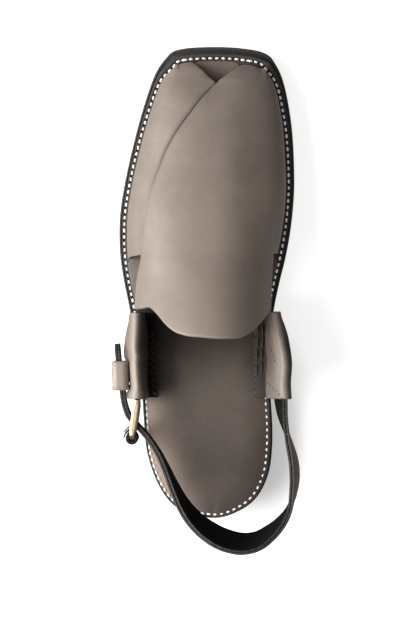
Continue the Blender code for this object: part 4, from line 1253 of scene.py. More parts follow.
def leather(name, colour, roughness, grain=0.00006, wear=0.12, light=LIGHT_SHARE, **sockets):
    """Smooth leather: cloudy colour, fine fibres and pores, and a grain in its relief and gloss."""
    made = Shader(name, colour, roughness, **sockets)
    clouds = made.noise(55.0, 5.0, 0.62)
    brushed = made.noise(1.0, 3.0, 0.6, made.stretched(900.0, 240.0, 600.0))
    mottle = made.noise(620.0, 3.0, 0.6)
    base = made.blend(made.spread(clouds, 0.3, 0.7, 0.0, 1.0), shade(colour, 1.0 - wear),
                      shade(colour, 1.0 + wear))
    base = made.blend(made.spread(brushed, 0.35, 0.75, 0.0, 0.22), base, shade(colour, 0.72))
    base = made.blend(made.spread(mottle, 0.45, 0.8, 0.0, 0.30), base, shade(colour, 1.22))
    # The tone attribute darkens the colour with painted shade and dark seams, and lightens it with painted
    # light
    tone = made.node("ShaderNodeAttribute")
    tone.attribute_name = "tone"
    tone = tone.outputs["Fac"]
    base = made.blend(made.spread(tone, 0.0, 1.0, 0.0, 1.0), base, shade(colour, DARK_SHARE))
    base = made.blend(made.spread(tone, 0.0, -1.0, 0.0, 1.0), base, shade(colour, light))
    made.join("Base Color", base)
    for socket, usual in (("Sheen Weight", 0.0), ("Specular IOR Level", 0.5)):
        value = sockets.get(socket.replace(" ", "_"), usual)
        made.join(socket, made.spread(tone, 0.0, 1.0, value, value * DARK_GLOSS))
    made.join("Roughness", made.spread(brushed, 0.3, 0.7, roughness - 0.07, roughness + 0.08))
    pores = made.math("MULTIPLY", made.cells(1250.0), 0.6)
    made.bump(made.math("ADD", pores, made.math("ADD", mottle, made.math("MULTIPLY", brushed, 0.5))), grain)
    return made


def fibrous(name, colour, light, roughness):
    """A cut edge: dark dressing over pale, drawn-out fibres."""
    made = Shader(name, colour, roughness)
    strands = made.noise(1.0, 4.0, 0.7, made.stretched(1500.0, 420.0, 1500.0))
    fuzz = made.noise(1300.0, 3.0)
    share = made.math("MULTIPLY", made.spread(strands, 0.52, 0.74, 0.0, 1.0),
                      made.spread(fuzz, 0.4, 0.65, 0.2, 1.0))
    made.join("Base Color", made.blend(share, colour, light))
    made.bump(made.math("ADD", strands, fuzz), 0.00025)
    return made


def make_materials():
    """The shoe's finishes."""
    soft = {"Sheen_Weight": 0.22, "Sheen_Roughness": 0.4}
    leather("upper_taupe", TAUPE, 0.50, **soft)
    leather("ear_taupe", TAUPE, 0.48, grain=0.00007, **soft)
    leather("ear_inside", shade(FOOTBED, 0.9), 0.58, grain=0.00010)
    leather("strap_taupe", shade(TAUPE, 0.8), 0.52, grain=0.00010)
    leather("footbed_taupe", FOOTBED, 0.55, wear=0.14, light=FOOTBED_LIGHT, **soft)
    leather("welt_taupe", shade(TAUPE, 0.62), 0.60, grain=0.00010)
    leather("flesh_side", (0.050, 0.040, 0.034), 0.85, grain=0.00016)
    leather("welt_brown", (0.024, 0.017, 0.013), 0.66, grain=0.00015)
    leather("lining_black", (0.0020, 0.0019, 0.0019), 0.80, grain=0.00012, Specular_IOR_Level=0.12)
    fibrous("cut_edge", (0.014, 0.011, 0.009), (0.060, 0.050, 0.042), 0.75)
    fibrous("strap_edge", (0.009, 0.0087, 0.0087), (0.20, 0.196, 0.19), 0.70)
    fibrous("face_edge", (0.030, 0.023, 0.018), (0.11, 0.095, 0.08), 0.70)
    fibrous("groove_dark", (0.004, 0.0034, 0.003), (0.020, 0.016, 0.0135), 0.85)
    rubber = Shader("sole_rubber", RUBBER, 0.55)
    dust = rubber.noise(700.0, 4.0)
    dusty = rubber.spread(dust, 0.4, 0.7, 0.0, 1.0)
    rubber.join("Base Color", rubber.blend(dusty, shade(RUBBER, 0.8), shade(RUBBER, 1.6)))
    rubber.join("Roughness", rubber.spread(rubber.noise(120.0), 0.3, 0.7, 0.46, 0.64))
    rubber.bump(dust, 0.00008)
    # Painted light: the white thread glows faintly, so that it stays bright where it lies in shade
    thread = Shader("white_thread", THREAD, 0.60, Sheen_Weight=0.2, Emission_Strength=0.10)
    thread.main.inputs["Emission Color"].default_value = (1.0, 0.99, 0.97, 1.0)
    twist = thread.noise(1.0, 2.0, 0.5, thread.stretched(2200.0, 2200.0, 2200.0))
    twisted = thread.spread(twist, 0.35, 0.6, 0.0, 1.0)
    thread.join("Base Color", thread.blend(twisted, shade(THREAD, 0.72), THREAD))
    thread.bump(twist, 0.00012)
    dark = Shader("dark_thread", (0.022, 0.016, 0.012), 0.65)
    dark.bump(dark.noise(2200.0), 0.00012)
    brass = Shader("polished_brass", BRASS, 0.20, metallic=1.0)
    tarnish = brass.noise(260.0, 4.0)
    dull = brass.spread(tarnish, 0.45, 0.75, 0.0, 1.0)
    brass.join("Base Color", brass.blend(dull, BRASS, shade(BRASS, 0.62)))
    brass.join("Roughness", brass.spread(tarnish, 0.3, 0.7, 0.14, 0.32))
    brass.bump(brass.noise(900.0), 0.00002)
    black = Shader("black_enamel", (0.0035, 0.0033, 0.0031), 0.50, Specular_IOR_Level=0.25)
    black.join("Roughness", black.spread(black.noise(500.0), 0.3, 0.7, 0.40, 0.60))
    black.bump(black.noise(1300.0), 0.00003)
    floor = Shader("pale_floor", (0.60, 0.60, 0.60), 0.9)
    floor.main.inputs["Emission Color"].default_value = (1.0, 1.0, 1.0, 1.0)
    # Painted shadow: the floor's glow falls off toward a soft patch inside the strap's loop
    x, y, wide, long = LOOP_SHADE
    spot = floor.node("ShaderNodeMapping", Vector=floor.place, Location=(-x / wide, -y / long, 0.0),
                      Scale=(1.0 / wide, 1.0 / long, 1.0))
    ball = floor.node("ShaderNodeTexGradient", Vector=spot.outputs[0])
    ball.gradient_type = "SPHERICAL"
    glow = floor.spread(ball.outputs["Fac"], 0.0, 0.7, FLOOR_GLOW, FLOOR_GLOW * LOOP_GLOW)
    floor.join("Emission Strength", glow)
    floor.join("Roughness", floor.spread(floor.noise(6.0), 0.3, 0.7, 0.86, 0.94))


# Sole


def welt_inset(along, front, side):
    """Where the stitches run."""
    column = 1 if side < 0 else 2
    front = front if along > BALL_AT else 0.0
    corner = STITCH_CORNER * 4.0 * front * (1.0 - front)
    return mix(read(WELT, column, min(max(along, 0.0), 1.0)), STITCH_TOE_INSET, front) + corner


def make_outsole():
    """The black outsole, with ribs along its side and a worn rim."""
    def over(share):
        return lambda y: tread_z(y) + OUTSOLE_THICKNESS * share

    rim_low = 1.0 - RIM_BEVEL / OUTSOLE_THICKNESS
    layers = [
        (fixed_inset(TREAD_TUCK + 0.0006), over(0.0), 0),
        (fixed_inset(TREAD_TUCK + 0.0001), over(0.03), 0),
        (fixed_inset(TREAD_TUCK - 0.0002), over(0.10), 0),
        (fixed_inset(SIDE_TUCK + 0.0001), over(GROOVE_LOW - 0.05), 0),
        (fixed_inset(SIDE_TUCK), over(GROOVE_LOW), 0),
        (fixed_inset(SIDE_TUCK + SIDE_GROOVE), over(GROOVE_LOW + 0.02), 0),
        (fixed_inset(SIDE_TUCK + SIDE_GROOVE), over(GROOVE_HIGH), 0),
        (fixed_inset(0.0002), over(RIM_LOW - 0.03), 0),
        (fixed_inset(0.0), over(RIM_LOW), 0),
        (fixed_inset(0.0), over(rim_low), 0),
        (fixed_inset(RIM_BEVEL * 0.3), over(rim_low + 0.07), 0),
        (fixed_inset(RIM_BEVEL), over(1.0), 0),
        (fixed_inset(0.0012, 0.0019), over(1.0), 0),
        (fixed_inset(0.0014, 0.0022), over(0.95), 0),
        (fixed_inset(0.0017, 0.0026), over(0.95), 0),
        (fixed_inset(0.0018, 0.0028), over(1.0), 0),
    ]
    alongs = sole_alongs(HEEL_CORNER_AT, TOE_CORNER_AT, 110)
    thing = slab("outsole_rubber_layer", layers, alongs, 36, ["sole_rubber"])
    dress(thing, "outsole_rubber", "outsole")


def make_heel_block():
    """The stacked heel, in lifts with fine joints."""
    height = HEEL_HEIGHT - GAP
    layers = [(fixed_inset(HEEL_BLOCK_INSET + HEEL_BLOCK_TUCK + 0.0006), lambda y: 0.0, 0)]
    for k in range(HEEL_LIFTS):
        for share, notch in ((0.10 if k else 0.04, 0.0), (0.86, 0.0), (0.93, 0.00035), (1.0, 0.00035)):
            up = (k + share) / HEEL_LIFTS
            inset = HEEL_BLOCK_INSET + HEEL_BLOCK_TUCK * max(0.0, 1.0 - 2.0 * up) + notch
            layers.append((fixed_inset(inset), lambda y, up=up: height * up, 0))
    alongs = sole_alongs(HEEL_CORNER_AT, HEEL_BREAST_AT, 44)
    thing = slab("heel_stack", layers, alongs, 30, ["sole_rubber"], toe=False)
    dress(thing, "outsole_rubber", "heel_block")


def make_midsole():
    """The brown midsole with the stitched groove in its welt."""
    def over(share):
        return lambda y: tread_z(y) + OUTSOLE_THICKNESS + GAP + MIDSOLE_THICKNESS * share

    def welt(offset):
        return lambda along, front, side: welt_inset(along, front, side) + offset

    def top(drop):
        return lambda y: midsole_top(y) - drop

    def body(extra):
        return fixed_inset(MIDSOLE_SIDE_INSET + extra, MIDSOLE_TOE_INSET + extra)

    half = GROOVE_WIDTH / 2.0
    layers = [
        (body(0.0005), over(0.0), 0), (body(0.0001), over(0.05), 0), (body(0.0), over(0.15), 0),
        (body(0.0), over(0.44), 0), (body(0.0002), over(0.48), 0), (body(0.0002), over(0.52), 0),
        (body(0.0), over(0.56), 0), (body(0.0), over(0.86), 0), (body(0.0001), over(0.95), 0),
        (body(0.0004), over(1.0), 1),
        (welt(-half), top(0.0), 2), (welt(-half * 0.6), top(GROOVE_DEPTH * 0.7), 2),
        (welt(0.0), top(GROOVE_DEPTH), 2), (welt(half * 0.6), top(GROOVE_DEPTH * 0.7), 2),
        (welt(half), top(0.0), 0),
    ]
    thing = slab("midsole_layer", layers, sole_alongs(HEEL_CORNER_AT, TOE_CORNER_AT, 130), 36,
                 ["welt_brown", "welt_brown", "groove_dark", "welt_taupe"])
    for face in thing.data.polygons:
        if face.material_index in (1, 2) and face.center.y < y_at(WELT_TAUPE_TO):
            face.material_index = 3
    dress(thing, "midsole_leather", "midsole")


def make_welt_stitches():
    """The white stitches all round the sole, lying in the groove."""
    rng = random.Random(11)
    line = []
    for k in range(EDGE.COUNT + 1):
        point = EDGE.at(k, welt_inset)
        behind = smoothstep((RIM_FROM - along_of(point[1])) / RIM_OVER)
        line.append((point[0], point[1], midsole_top(point[1]) + STITCH_LIFT + RIM_STITCH_LIFT * behind))
    bm = bmesh.new()
    for point, run, up in along_line(line, [(0.0, 0.0, 1.0)] * len(line), STITCH_PITCH):
        turn = math.radians(rng.uniform(-STITCH_TURN, STITCH_TURN))
        cos, sin = math.cos(turn), math.sin(turn)
        run = Vector((run.x * cos - run.y * sin, run.x * sin + run.y * cos, run.z))
        corner = 0.0
        if point.y > y_at(CORNERS_FROM):
            away = abs(point.x - CORNERS_MIDDLE) - CORNERS_APART
            corner = math.exp(-(away / CORNERS_WIDTH) ** 2)
        length = STITCH_LENGTH * rng.uniform(0.9, 1.1) * (1.0 + CORNERS_LONGER * corner)
        width = STITCH_WIDTH * rng.uniform(0.9, 1.1)
        stitch(bm, point, run, up, (length, width, STITCH_WIDTH * STITCH_FLAT), STITCH_SINK)
    dress(scene_object("welt_stitches", bm, ["white_thread"]), "midsole_leather")


def footbed_inset(along, front, side):
    """The footbed's outline: the solid's under the upper, and just outside the stitches behind the ears."""
    behind = smoothstep((RIM_FROM - along) / RIM_OVER)
    margin = RIM_MARGINS[0 if side < 0 else 1]
    return mix(insole_inset(along, front, side), welt_inset(along, front, side) - margin, behind)


def footbed_crown(distance):
    """Height of the footbed's top over the solid's at a distance from its outline."""
    return CROWN_RISE - CROWN_FALL * max(0.0, 1.0 - distance / CROWN_WIDTH) ** 2


def make_footbed():
    """The footbed, crowned, with a stitched rim, and pressed a little where the foot stands."""
    def over(share):
        return lambda y: midsole_top(y) + GAP + INSOLE_THICKNESS * share

    def edge(amount):
        return lambda along, front, side: footbed_inset(along, front, side) + amount

    layers = [(edge(0.0), over(0.0), 0), (edge(0.0), over(0.5), 0), (edge(0.0001), over(0.8), 0),
              (edge(0.0004), over(1.0), 0), (edge(0.0012), over(1.0), 0), (edge(0.0024), over(1.0), 0)]
    thing = slab("footbed", layers, sole_alongs(HEEL_CORNER_AT, TOE_CORNER_AT, 120), 48, ["footbed_taupe"])
    rim = [EDGE.at(k, footbed_inset) for k in range(EDGE.COUNT)]
    tree = kdtree.KDTree(len(rim))
    for k, point in enumerate(rim):
        tree.insert((point[0], point[1], 0.0), k)
    tree.balance()
    front = max(vertex.co.y for vertex in thing.data.vertices)
    reach = y_at(1.0) - STITCH_TOE_INSET - STITCH_WIDTH - front
    for vertex in thing.data.vertices:
        point = vertex.co
        height = (point.z - midsole_top(point.y) - GAP) / INSOLE_THICKNESS
        away = tree.find((point.x, point.y, 0.0))[2]
        crown = footbed_crown(away) - footbed_press(point.x, point.y) * smoothstep(away / PRESS_FROM_RIM)
        in_v = smoothstep((point.x - V_LATERAL * BALL_WIDTH + V_INSIDE) / V_SIDE_OVER)
        in_v *= smoothstep((V_MEDIAL * BALL_WIDTH - V_INSIDE - point.x) / V_SIDE_OVER)
        near = smoothstep((point.y - front + V_FRONT_OVER) / V_FRONT_OVER) * in_v
        point.z += crown * height
        point.y += reach * near

    # Painted light at the lateral rim and in the toe's V, and painted shade beside the ears, under the tongue
    # and at the heel
    def tone(point):
        near = math.exp(-(tree.find((point.x, point.y, 0.0))[2] / RIM_LIGHT_WIDTH) ** 2)
        lateral = ramp(point.x, *RIM_LIGHT_INNER) * ramp(point.y, y_at(RIM_LIGHT_TO), RIM_LIGHT_OVER)
        toe = ramp(point.y, y_at(TOE_LIGHT_FROM), TOE_LIGHT_OVER)
        light = RIM_LIGHT * near * lateral + TOE_LIGHT * toe
        rear = ramp(point.y, *SHADE_FRONT)
        beside = ramp(point.y, *SHADE_REAR) * ramp(point.x, *SHADE_INNER) * rear
        under = ramp(point.y, *TONGUE_SHADE_REAR) * rear
        medial = ramp(point.y, *MEDIAL_SHADE_REAR) * ramp(point.x, *MEDIAL_SHADE_INNER) * rear
        heel = ramp(point.y, *HEEL_SHADE_FRONT) * ramp(point.x, *HEEL_SHADE_LATERAL)
        dark = max(SHADE_MOST * beside, TONGUE_SHADE * under, MEDIAL_SHADE * medial, HEEL_SHADE * heel)
        return dark - light * (1.0 - beside)

    set_tone(thing, tone)
    dress(thing, "footbed_leather", "insole")


def footbed_press(x, y):
    """How deep the heel and the ball have pressed the footbed."""
    deep = 0.0
    for at_x, at_y, wide, long, amount in FOOTBED_MARKS:
        deep += amount * math.exp(-((x - at_x) / wide) ** 2 - ((y - at_y) / long) ** 2)
    return deep


# Upper


class FineRow:
    """One row across the last: its feet, its toe curve, and its section."""

    def __init__(self, side_along, curve, crown_along, flat=0.0):
        self.curve = curve
        self.square = read(SECTIONS, 2, crown_along)
        self.height = (read(SECTIONS, 1, crown_along) * INSTEP_HEIGHT + INSOLE_THICKNESS) * (1.0 - flat)
        free = smoothstep((WING_END_AT - side_along) / BODY_BLEND)
        ends = []
        for side, column in ((-1, 1), (1, 2)):
            foot = EDGE.at(EDGE.index(side_along, side), foot_inset)
            body = np.array([read(BODY, column, side_along) * width_at(side_along), foot[1]])
            ends.append(mix(foot, body, free))
        self.ends = ends
        self.shares = np.linspace(0.0, 1.0, 61)
        self.xs = [self.plan(u)[0] for u in self.shares]

    def plan(self, u):
        """The row's place in plan, at a share of the way across."""
        point = mix(*self.ends, u)
        if self.curve:
            point = point + (EDGE.at(mix(*TOE_SPAN, u), foot_inset) - mix(*TOE_CHORD, u)) * self.curve
        return point

    def angle_at(self, x):
        """The angle round the section at a place across."""
        c = 1.0 - 2.0 * float(np.interp(x, self.xs, self.shares))
        return math.acos(max(-1.0, min(1.0, math.copysign(abs(c) ** (self.square / 2.0), c))))

    def point(self, angle):
        """The last's point at an angle round the section."""
        cosine = math.cos(angle)
        u = 0.5 * (1.0 - math.copysign(abs(cosine) ** (2.0 / self.square), cosine))
        place = self.plan(u)
        rise = self.height * max(0.0, math.sin(angle)) ** (2.0 / self.square)
        return Vector((place[0], place[1], midsole_top(place[1]) + GAP + rise))


TOE_SPAN = (EDGE.index(TOE_ROWS[0][0], -1), EDGE.index(TOE_ROWS[0][0], 1))
TOE_CHORD = tuple(EDGE.at(index, foot_inset) for index in TOE_SPAN)


def spaced(low, high, count, dense_low=0.0, dense_high=0.0):
    """Values from low to high, with rows for a rounded edge at the ends whose dense size isn't 0."""
    first = [low + dense_low * share for share in EDGE_SHARES] if dense_low else [low]
    last = [high - dense_high * share for share in reversed(EDGE_SHARES)] if dense_high else [high]
    middle = np.linspace(first[-1], last[0], count + 1)[1:-1]
    return first + list(middle) + last


class FineUpper:
    """The two panels on the last in fine rows and columns."""

    def __init__(self):
        toe = []
        for k in range((len(TOE_ROWS) - 1) * TOE_FINE + 1):
            at = k / TOE_FINE
            indices = list(range(len(TOE_ROWS)))
            toe.append(tuple(float(np.interp(at, indices, [row[c] for row in TOE_ROWS])) for c in range(3)))
        step = EDGE_RADIUS / SOLE_LENGTH
        wing = spaced(-TOE_ROWS[-1][0], -WING_END_AT, FINE_WING_ROWS, 0.0, step)[1:]
        self.rows = toe + [(-a, 0.0, -a) for a in wing]
        self.apex, self.wing = len(toe) - 1, len(self.rows) - 1
        tongue = spaced(0.0, 1.0, FINE_TONGUE_ROWS, 0.0, EDGE_RADIUS / 0.045)[1:]
        self.last = self.wing + len(tongue)
        self.seam = FINE_LATERAL + len(EDGE_SHARES) - 1
        self.tongue = self.seam + FINE_TONGUE + 2 * len(EDGE_SHARES) - 2
        self.end = self.tongue + FINE_MEDIAL
        self.lateral, self.upper = {}, {}
        for i, row in enumerate(self.rows):
            self.add_wing_row(i, *row)
        for k, t in enumerate(tongue):
            self.add_tongue_row(self.wing + 1 + k, t)

    def panel_edges(self, i, crown):
        """Where the lateral panel ends and the upper panel starts, across."""
        if i >= self.apex:
            x = read(PANEL_EDGE, 1, crown) * width_at(crown)
            return x, x
        apex = PANEL_EDGE[-1]
        apex_x = apex[1] * width_at(apex[0])
        share = (crown - apex[0]) / (TOE_ROWS[0][2] - apex[0])
        width = width_at(crown)
        return mix(apex_x, V_LATERAL * width, share), mix(apex_x, V_MEDIAL * width, share)

    def tongue_xs(self, low, high):
        """Places across between the seam and the tongue's medial edge."""
        return spaced(low, high, FINE_TONGUE, EDGE_RADIUS, EDGE_RADIUS)

    def add_wing_row(self, i, side, curve, crown):
        """Add a row of both panels, from foot to foot."""
        row = FineRow(side, curve, crown, flat=1.0 if i == 0 else 0.0)
        lateral_x, upper_x = self.panel_edges(i, crown)
        tongue_x = read(TONGUE_EDGE, 1, crown) * width_at(crown)
        top = row.angle_at(lateral_x)
        for j, angle in enumerate(spaced(0.0, top, FINE_LATERAL, 0.0, EDGE_RADIUS / 0.045)):
            self.lateral[i, j] = row.point(angle)
        for k, x in enumerate(self.tongue_xs(upper_x, tongue_x)):
            self.upper[i, self.seam + k] = row.point(row.angle_at(x))
        for k in range(1, FINE_MEDIAL + 1):
            angle = mix(row.angle_at(tongue_x), math.pi, k / FINE_MEDIAL)
            self.upper[i, self.tongue + k] = row.point(angle)

    def add_tongue_row(self, i, t):
        """Add a row of the tongue behind the wings."""
        for k, share in enumerate(self.tongue_xs(0.0, 0.085)):
            share = share / 0.085
            along = mix(WING_END_AT, read(TONGUE_REAR, 1, share), t)
            x = mix(read(PANEL_EDGE, 1, along), read(TONGUE_EDGE, 1, along), share) * width_at(along)
            row = FineRow(along, 0.0, along)
            self.upper[i, self.seam + k] = row.point(row.angle_at(x))

    def cells(self):
        """The grid's cells of each panel, by their first corner."""
        lateral = [(i, j) for i in range(self.wing) for j in range(self.seam)]
        upper = [(i, j) for i in range(self.last) for j in range(self.seam, self.end)
                 if i < self.wing or j < self.tongue]
        return lateral, upper

    def directions(self):
        """The outward direction at each grid point of each panel."""
        totals = {}
        for grid, cells in zip((self.lateral, self.upper), self.cells()):
            for i, j in cells:
                corners = [grid[i, j], grid[i, j + 1], grid[i + 1, j + 1], grid[i + 1, j]]
                cross = (corners[3] - corners[1]).cross(corners[2] - corners[0])
                for corner in corners:
                    key = tuple(round(c, 6) for c in corner)
                    totals[key] = totals.get(key, Vector((0.0, 0.0, 0.0))) + cross

        def direction(grid, key):
            total = totals[tuple(round(c, 6) for c in grid[key])].copy()
            i, j = key
            if i == 0 or (i <= self.wing and j in (0, self.end)):
                total.z = 0.0
            return total.normalized()

        return ({key: direction(self.lateral, key) for key in self.lateral},
                {key: direction(self.upper, key) for key in self.upper})

    def free_edges(self):
        """The keys of the cut edges that are rounded, of each panel."""
        lateral = [(i, self.seam) for i in range(self.apex + 1)]
        lateral += [(self.wing, j) for j in range(self.seam + 1)]
        upper = [(i, self.seam) for i in range(self.apex + 1)]
        upper += [(i, j) for i in range(self.wing + 1, self.last + 1) for j in (self.seam, self.tongue)]
        upper += [(self.last, j) for j in range(self.seam, self.tongue + 1)]
        upper += [(self.wing, j) for j in range(self.tongue, self.end + 1)]
        return lateral, upper


def nearest(points, keys):
    """A function that gives the distance to the nearest of some grid points."""
    tree = kdtree.KDTree(len(keys))
    for k, key in enumerate(keys):
        tree.insert(points[key], k)
    tree.balance()
    return lambda point: tree.find(point)[2]


def crease(x, y):
    """The soft troughs and ridges of the upper, outward in metres."""
    total = 0.0
    for x0, y0, x1, y1, wide, amount in CREASES:
        run = Vector((x1 - x0, y1 - y0))
        share = max(0.0, min(1.0, Vector((x - x0, y - y0)).dot(run) / run.length_squared))
        off = math.hypot(x - x0 - run.x * share, y - y0 - run.y * share)
        ends = math.sin(math.pi * mix(CREASE_END, 1.0 - CREASE_END, share))
        total += amount * ends * math.exp(-(off / wide) ** 2)
    return total + SURFACE_WAVE * noise.noise(Vector((x, y, 0.0)) * SURFACE_WAVE_SCALE)


def pinch(point):
    """How far the stitches draw the upper's foot inward."""
    most = read(FOOT_PINCH, 1 if point.x < 0.0 else 2, along_of(point.y))
    return most * math.exp(-((point.z - midsole_top(point.y)) / FOOT_PINCH_HEIGHT) ** 2)


def make_upper():
    """The upper: the crossed panels with their step, cut edges and soft folds."""
    grid = FineUpper()
    lateral_out, upper_out = grid.directions()
    free_lateral, free_upper = grid.free_edges()
    off_lateral, off_upper = nearest(grid.lateral, free_lateral), nearest(grid.upper, free_upper)
    off_seam = nearest(grid.upper, [(i, grid.seam) for i in range(grid.apex, grid.wing + 1)])
    wing_y = grid.lateral[grid.wing, grid.seam].y
    bm = bmesh.new()
    seam, tongue, end = grid.seam, grid.tongue, grid.end
    outer_a, inner_a, outer_b, inner_b = {}, {}, {}, {}
    for (i, j), point in grid.lateral.items():
        drop = min(round_drop(off_lateral(point), EDGE_RADIUS), WALL * WALL_ROUND)
        soft = crease(point.x, point.y) * smoothstep(i / TOE_FINE) * smoothstep(j / FADE_COLUMNS) - pinch(point)
        out = lateral_out[i, j]
        slant = ramp(along_of(point.y), *WING_SLANT_FROM) * (1.0 - j / seam)
        point = point - Vector((0.0, WING_SLANT * slant, 0.0))
        outer_a[i, j] = bm.verts.new(point + out * (soft - drop))
        inner_a[i, j] = bm.verts.new(point + out * (soft - WALL + drop))
    for (i, j), point in grid.upper.items():
        key = (i, j)
        out = upper_out[key]
        inside = smoothstep(i / (TOE_FADE * TOE_FINE))
        if i <= grid.wing:
            inside *= smoothstep((end - j) / (FINE_MEDIAL * MEDIAL_FADE))
        away = off_seam(point)
        fade = read(SEAM_FADE, 1, along_of(point.y))
        sharp = math.sqrt(max(0.0, 1.0 - max(0.0, 1.0 - away / EDGE_RADIUS) ** 2))
        raised = inside
        if i >= grid.apex:
            wide = smoothstep(away / SEAM_FADE_WIDTH)
            low = mix(wide, mix(SEAM_LIP, 1.0, wide) * sharp, fade)
            behind = smoothstep((wing_y - point.y) / SEAM_END_OVER) if i > grid.wing else 0.0
            raised = inside * mix(low, 1.0, behind)
        drop = min(round_drop(off_upper(point), EDGE_RADIUS), WALL * WALL_ROUND)
        soft = crease(point.x, point.y) * smoothstep(i / TOE_FINE)
        if i <= grid.wing:
            soft = soft * smoothstep((end - j) / FADE_COLUMNS) - pinch(point)
        depth = mix(WALL, PANEL_THICKNESS - PANEL_STEP, smoothstep(away / THIN_OVER) * inside)
        on_seam = j == seam and grid.apex <= i <= grid.wing
        if on_seam:
            outer_b[key], inner_b[key] = outer_a[key], inner_a[key]
        else:
            outer_b[key] = bm.verts.new(point + out * (PANEL_STEP * SEAM_RISE * raised + soft - drop))
            inner_b[key] = bm.verts.new(point + out * (soft - depth + drop * INNER_ROUND))
    for (outer, inner), cells in zip(((outer_a, inner_a), (outer_b, inner_b)), grid.cells()):
        for i, j in cells:
            keys = [(i, j), (i, j + 1), (i + 1, j + 1), (i + 1, j)]
            bm.faces.new([outer[key] for key in keys])
            bm.faces.new([inner[key] for key in reversed(keys)]).material_index = 1

    def close(outer, inner, path, slot):
        for a, b in zip(path, path[1:]):
            bm.faces.new([outer[a], outer[b], inner[b], inner[a]]).material_index = slot

    apex, wing, rear = grid.apex, grid.wing, grid.last
    for column, first, last in ((0, 0, wing), (seam, 0, apex)):
        close(outer_a, inner_a, [(i, column) for i in range(first, last + 1)], 2)
    for row in (0, wing):
        close(outer_a, inner_a, [(row, j) for j in range(seam + 1)], 2)
    for column, first, last, slot in ((seam, 0, apex, 2), (seam, wing, rear, 0), (end, 0, wing, 2),
                                      (tongue, wing, rear, 0)):
        close(outer_b, inner_b, [(i, column) for i in range(first, last + 1)], slot)
    for row, first, last, slot in ((0, seam, end, 2), (wing, tongue, end, 2), (rear, seam, tongue, 0)):
        close(outer_b, inner_b, [(row, j) for j in range(first, last + 1)], slot)
    thing = scene_object("crossed_upper", bm, ["upper_taupe", "flesh_side", "cut_edge"])
    line = [grid.lateral[i, seam] for i in range(apex, wing + 1)]

    # The upper's tone: a dark seam line, painted shade at its foot and in a stripe, painted light in its middle
    # and medial side
    def tone(point):
        near = min(math.hypot(point.x - at.x, point.y - at.y) for at in line)
        sharp = read(SEAM_FADE, 1, along_of(point.y)) if point.y > y_at(SEAM_DARK_FROM) else 0.0
        dark = SEAM_DARK * sharp * math.exp(-(near / SEAM_DARK_WIDTH) ** 2)
        height = point.z - midsole_top(point.y)
        foot = FOOT_DARK * math.exp(-(height / FOOT_DARK_HEIGHT) ** 2)
        if point.z <= midsole_top(point.y) + LIGHT_HEIGHT:
            return min(1.0, dark + foot)
        painted_light_and_shade = read(CENTRE_LIGHT, 1, along_of(point.y))
        painted_light_and_shade *= ramp(point.x, *CENTRE_LATERAL) * ramp(point.x, *CENTRE_MEDIAL)
        middle, wide = MID_SHADE_STRIPE
        free = ramp(point.y, y_at(MID_SHADE_TO), MID_SHADE_OVER)
        painted_light_and_shade -= MID_SHADE * math.exp(-((point.x - middle) / wide) ** 2) * free
        side = ramp(point.x, *SIDE_LIGHT_INNER) * ramp(point.y, y_at(SIDE_LIGHT_TO), SIDE_LIGHT_OVER)
        return min(1.0, dark + foot - painted_light_and_shade - SIDE_LIGHT * side)

    set_tone(thing, tone)
    dress(thing, "taupe_leather", "upper")


# Ears, strap, keeper and buckle


def ear_sheet(name, node, side, stations, slots, threads, tones):
    """An ear's folded sheet, with its dark thread."""
    outer, inner = ear_rows(side, stations)
    outer, inner = rounded_sheet(outer, inner, EAR_EDGE)
    bm = bmesh.new()
    sheet_mesh(bm, outer, inner, (0, 1, 2))
    thing = scene_object(name, bm, slots)
    # The ears' tone: painted shade on flanges, flaps and sides turned from the light, painted highlight on the
    # crest
    across = outer.shape[1]
    layer = thing.data.attributes.new("tone", "FLOAT", "POINT")
    rows = outer.shape[0]
    values = []
    for k in range(len(thing.data.vertices)):
        share, place = (k % across) / (across - 1.0), (k // across % rows) / (rows - 1.0)
        rear, middle, front = (read(tones, column, share) for column in (1, 2, 3))
        near = mix(rear, middle, smoothstep(2.0 * place))
        values.append(mix(near, front, smoothstep(2.0 * place - 1.0)))
    layer.data.foreach_set("value", values)
    dress(thing, "taupe_leather", node)
    rng = random.Random(len(name))
    bm = bmesh.new()
    for face, start, stop, column_a, column_b, pitch, fill, width in threads:
        sheet, other = (outer, inner) if face == "outer" else (inner, outer)
        rows, columns = sheet.shape[0] - 1, sheet.shape[1] - 1
        line, ups = [], []
        for k in range(THREAD_SAMPLES):
            t = k / (THREAD_SAMPLES - 1.0)
            r, c = mix(start, stop, t) * rows, mix(column_a, column_b, t) * columns
            r0, c0 = min(int(r), rows - 1), min(int(c), columns - 1)
            fr, fc = r - r0, c - c0
            here, below = (mix(mix(g[r0, c0], g[r0, c0 + 1], fc), mix(g[r0 + 1, c0], g[r0 + 1, c0 + 1], fc), fr)
                           for g in (sheet, other))
            line.append(here)
            ups.append(here - below)
        for point, run, up in along_line(line, ups, pitch):
            size = (pitch * fill * rng.uniform(0.95, 1.05), width, width * THREAD_FLAT)
            stitch(bm, point + up * THREAD_LIFT, run, up, size, THREAD_SINK)
    if threads:
        dress(scene_object(name + "_thread", bm, ["dark_thread"]), "taupe_leather")


def make_strap_ear(route):
    """The medial ear, wrapped round the strap's fixed end."""
    stations = []
    for along in station_places(STRAP_EAR):
        top, outward, up = route.frame(route.distance_at(along, 1))
        outward = Vector((outward.x, 0.0, outward.z)).normalized()
        up = Vector((up.x, 0.0, up.z)).normalized()
        half = STRAP_THICKNESS / 2.0 * read(STRAP_EAR, 1, along)
        shape = (read(STRAP_EAR, 2, along), read(STRAP_EAR, 3, along))
        stations.append((along, top, outward, up, half, STRAP_WIDTH, *shape))
    ear_sheet("strap_ear_leather", "strap_ear", 1, stations, ["ear_taupe", "ear_inside", "cut_edge"],
              STRAP_EAR_THREADS, STRAP_EAR_TONE)


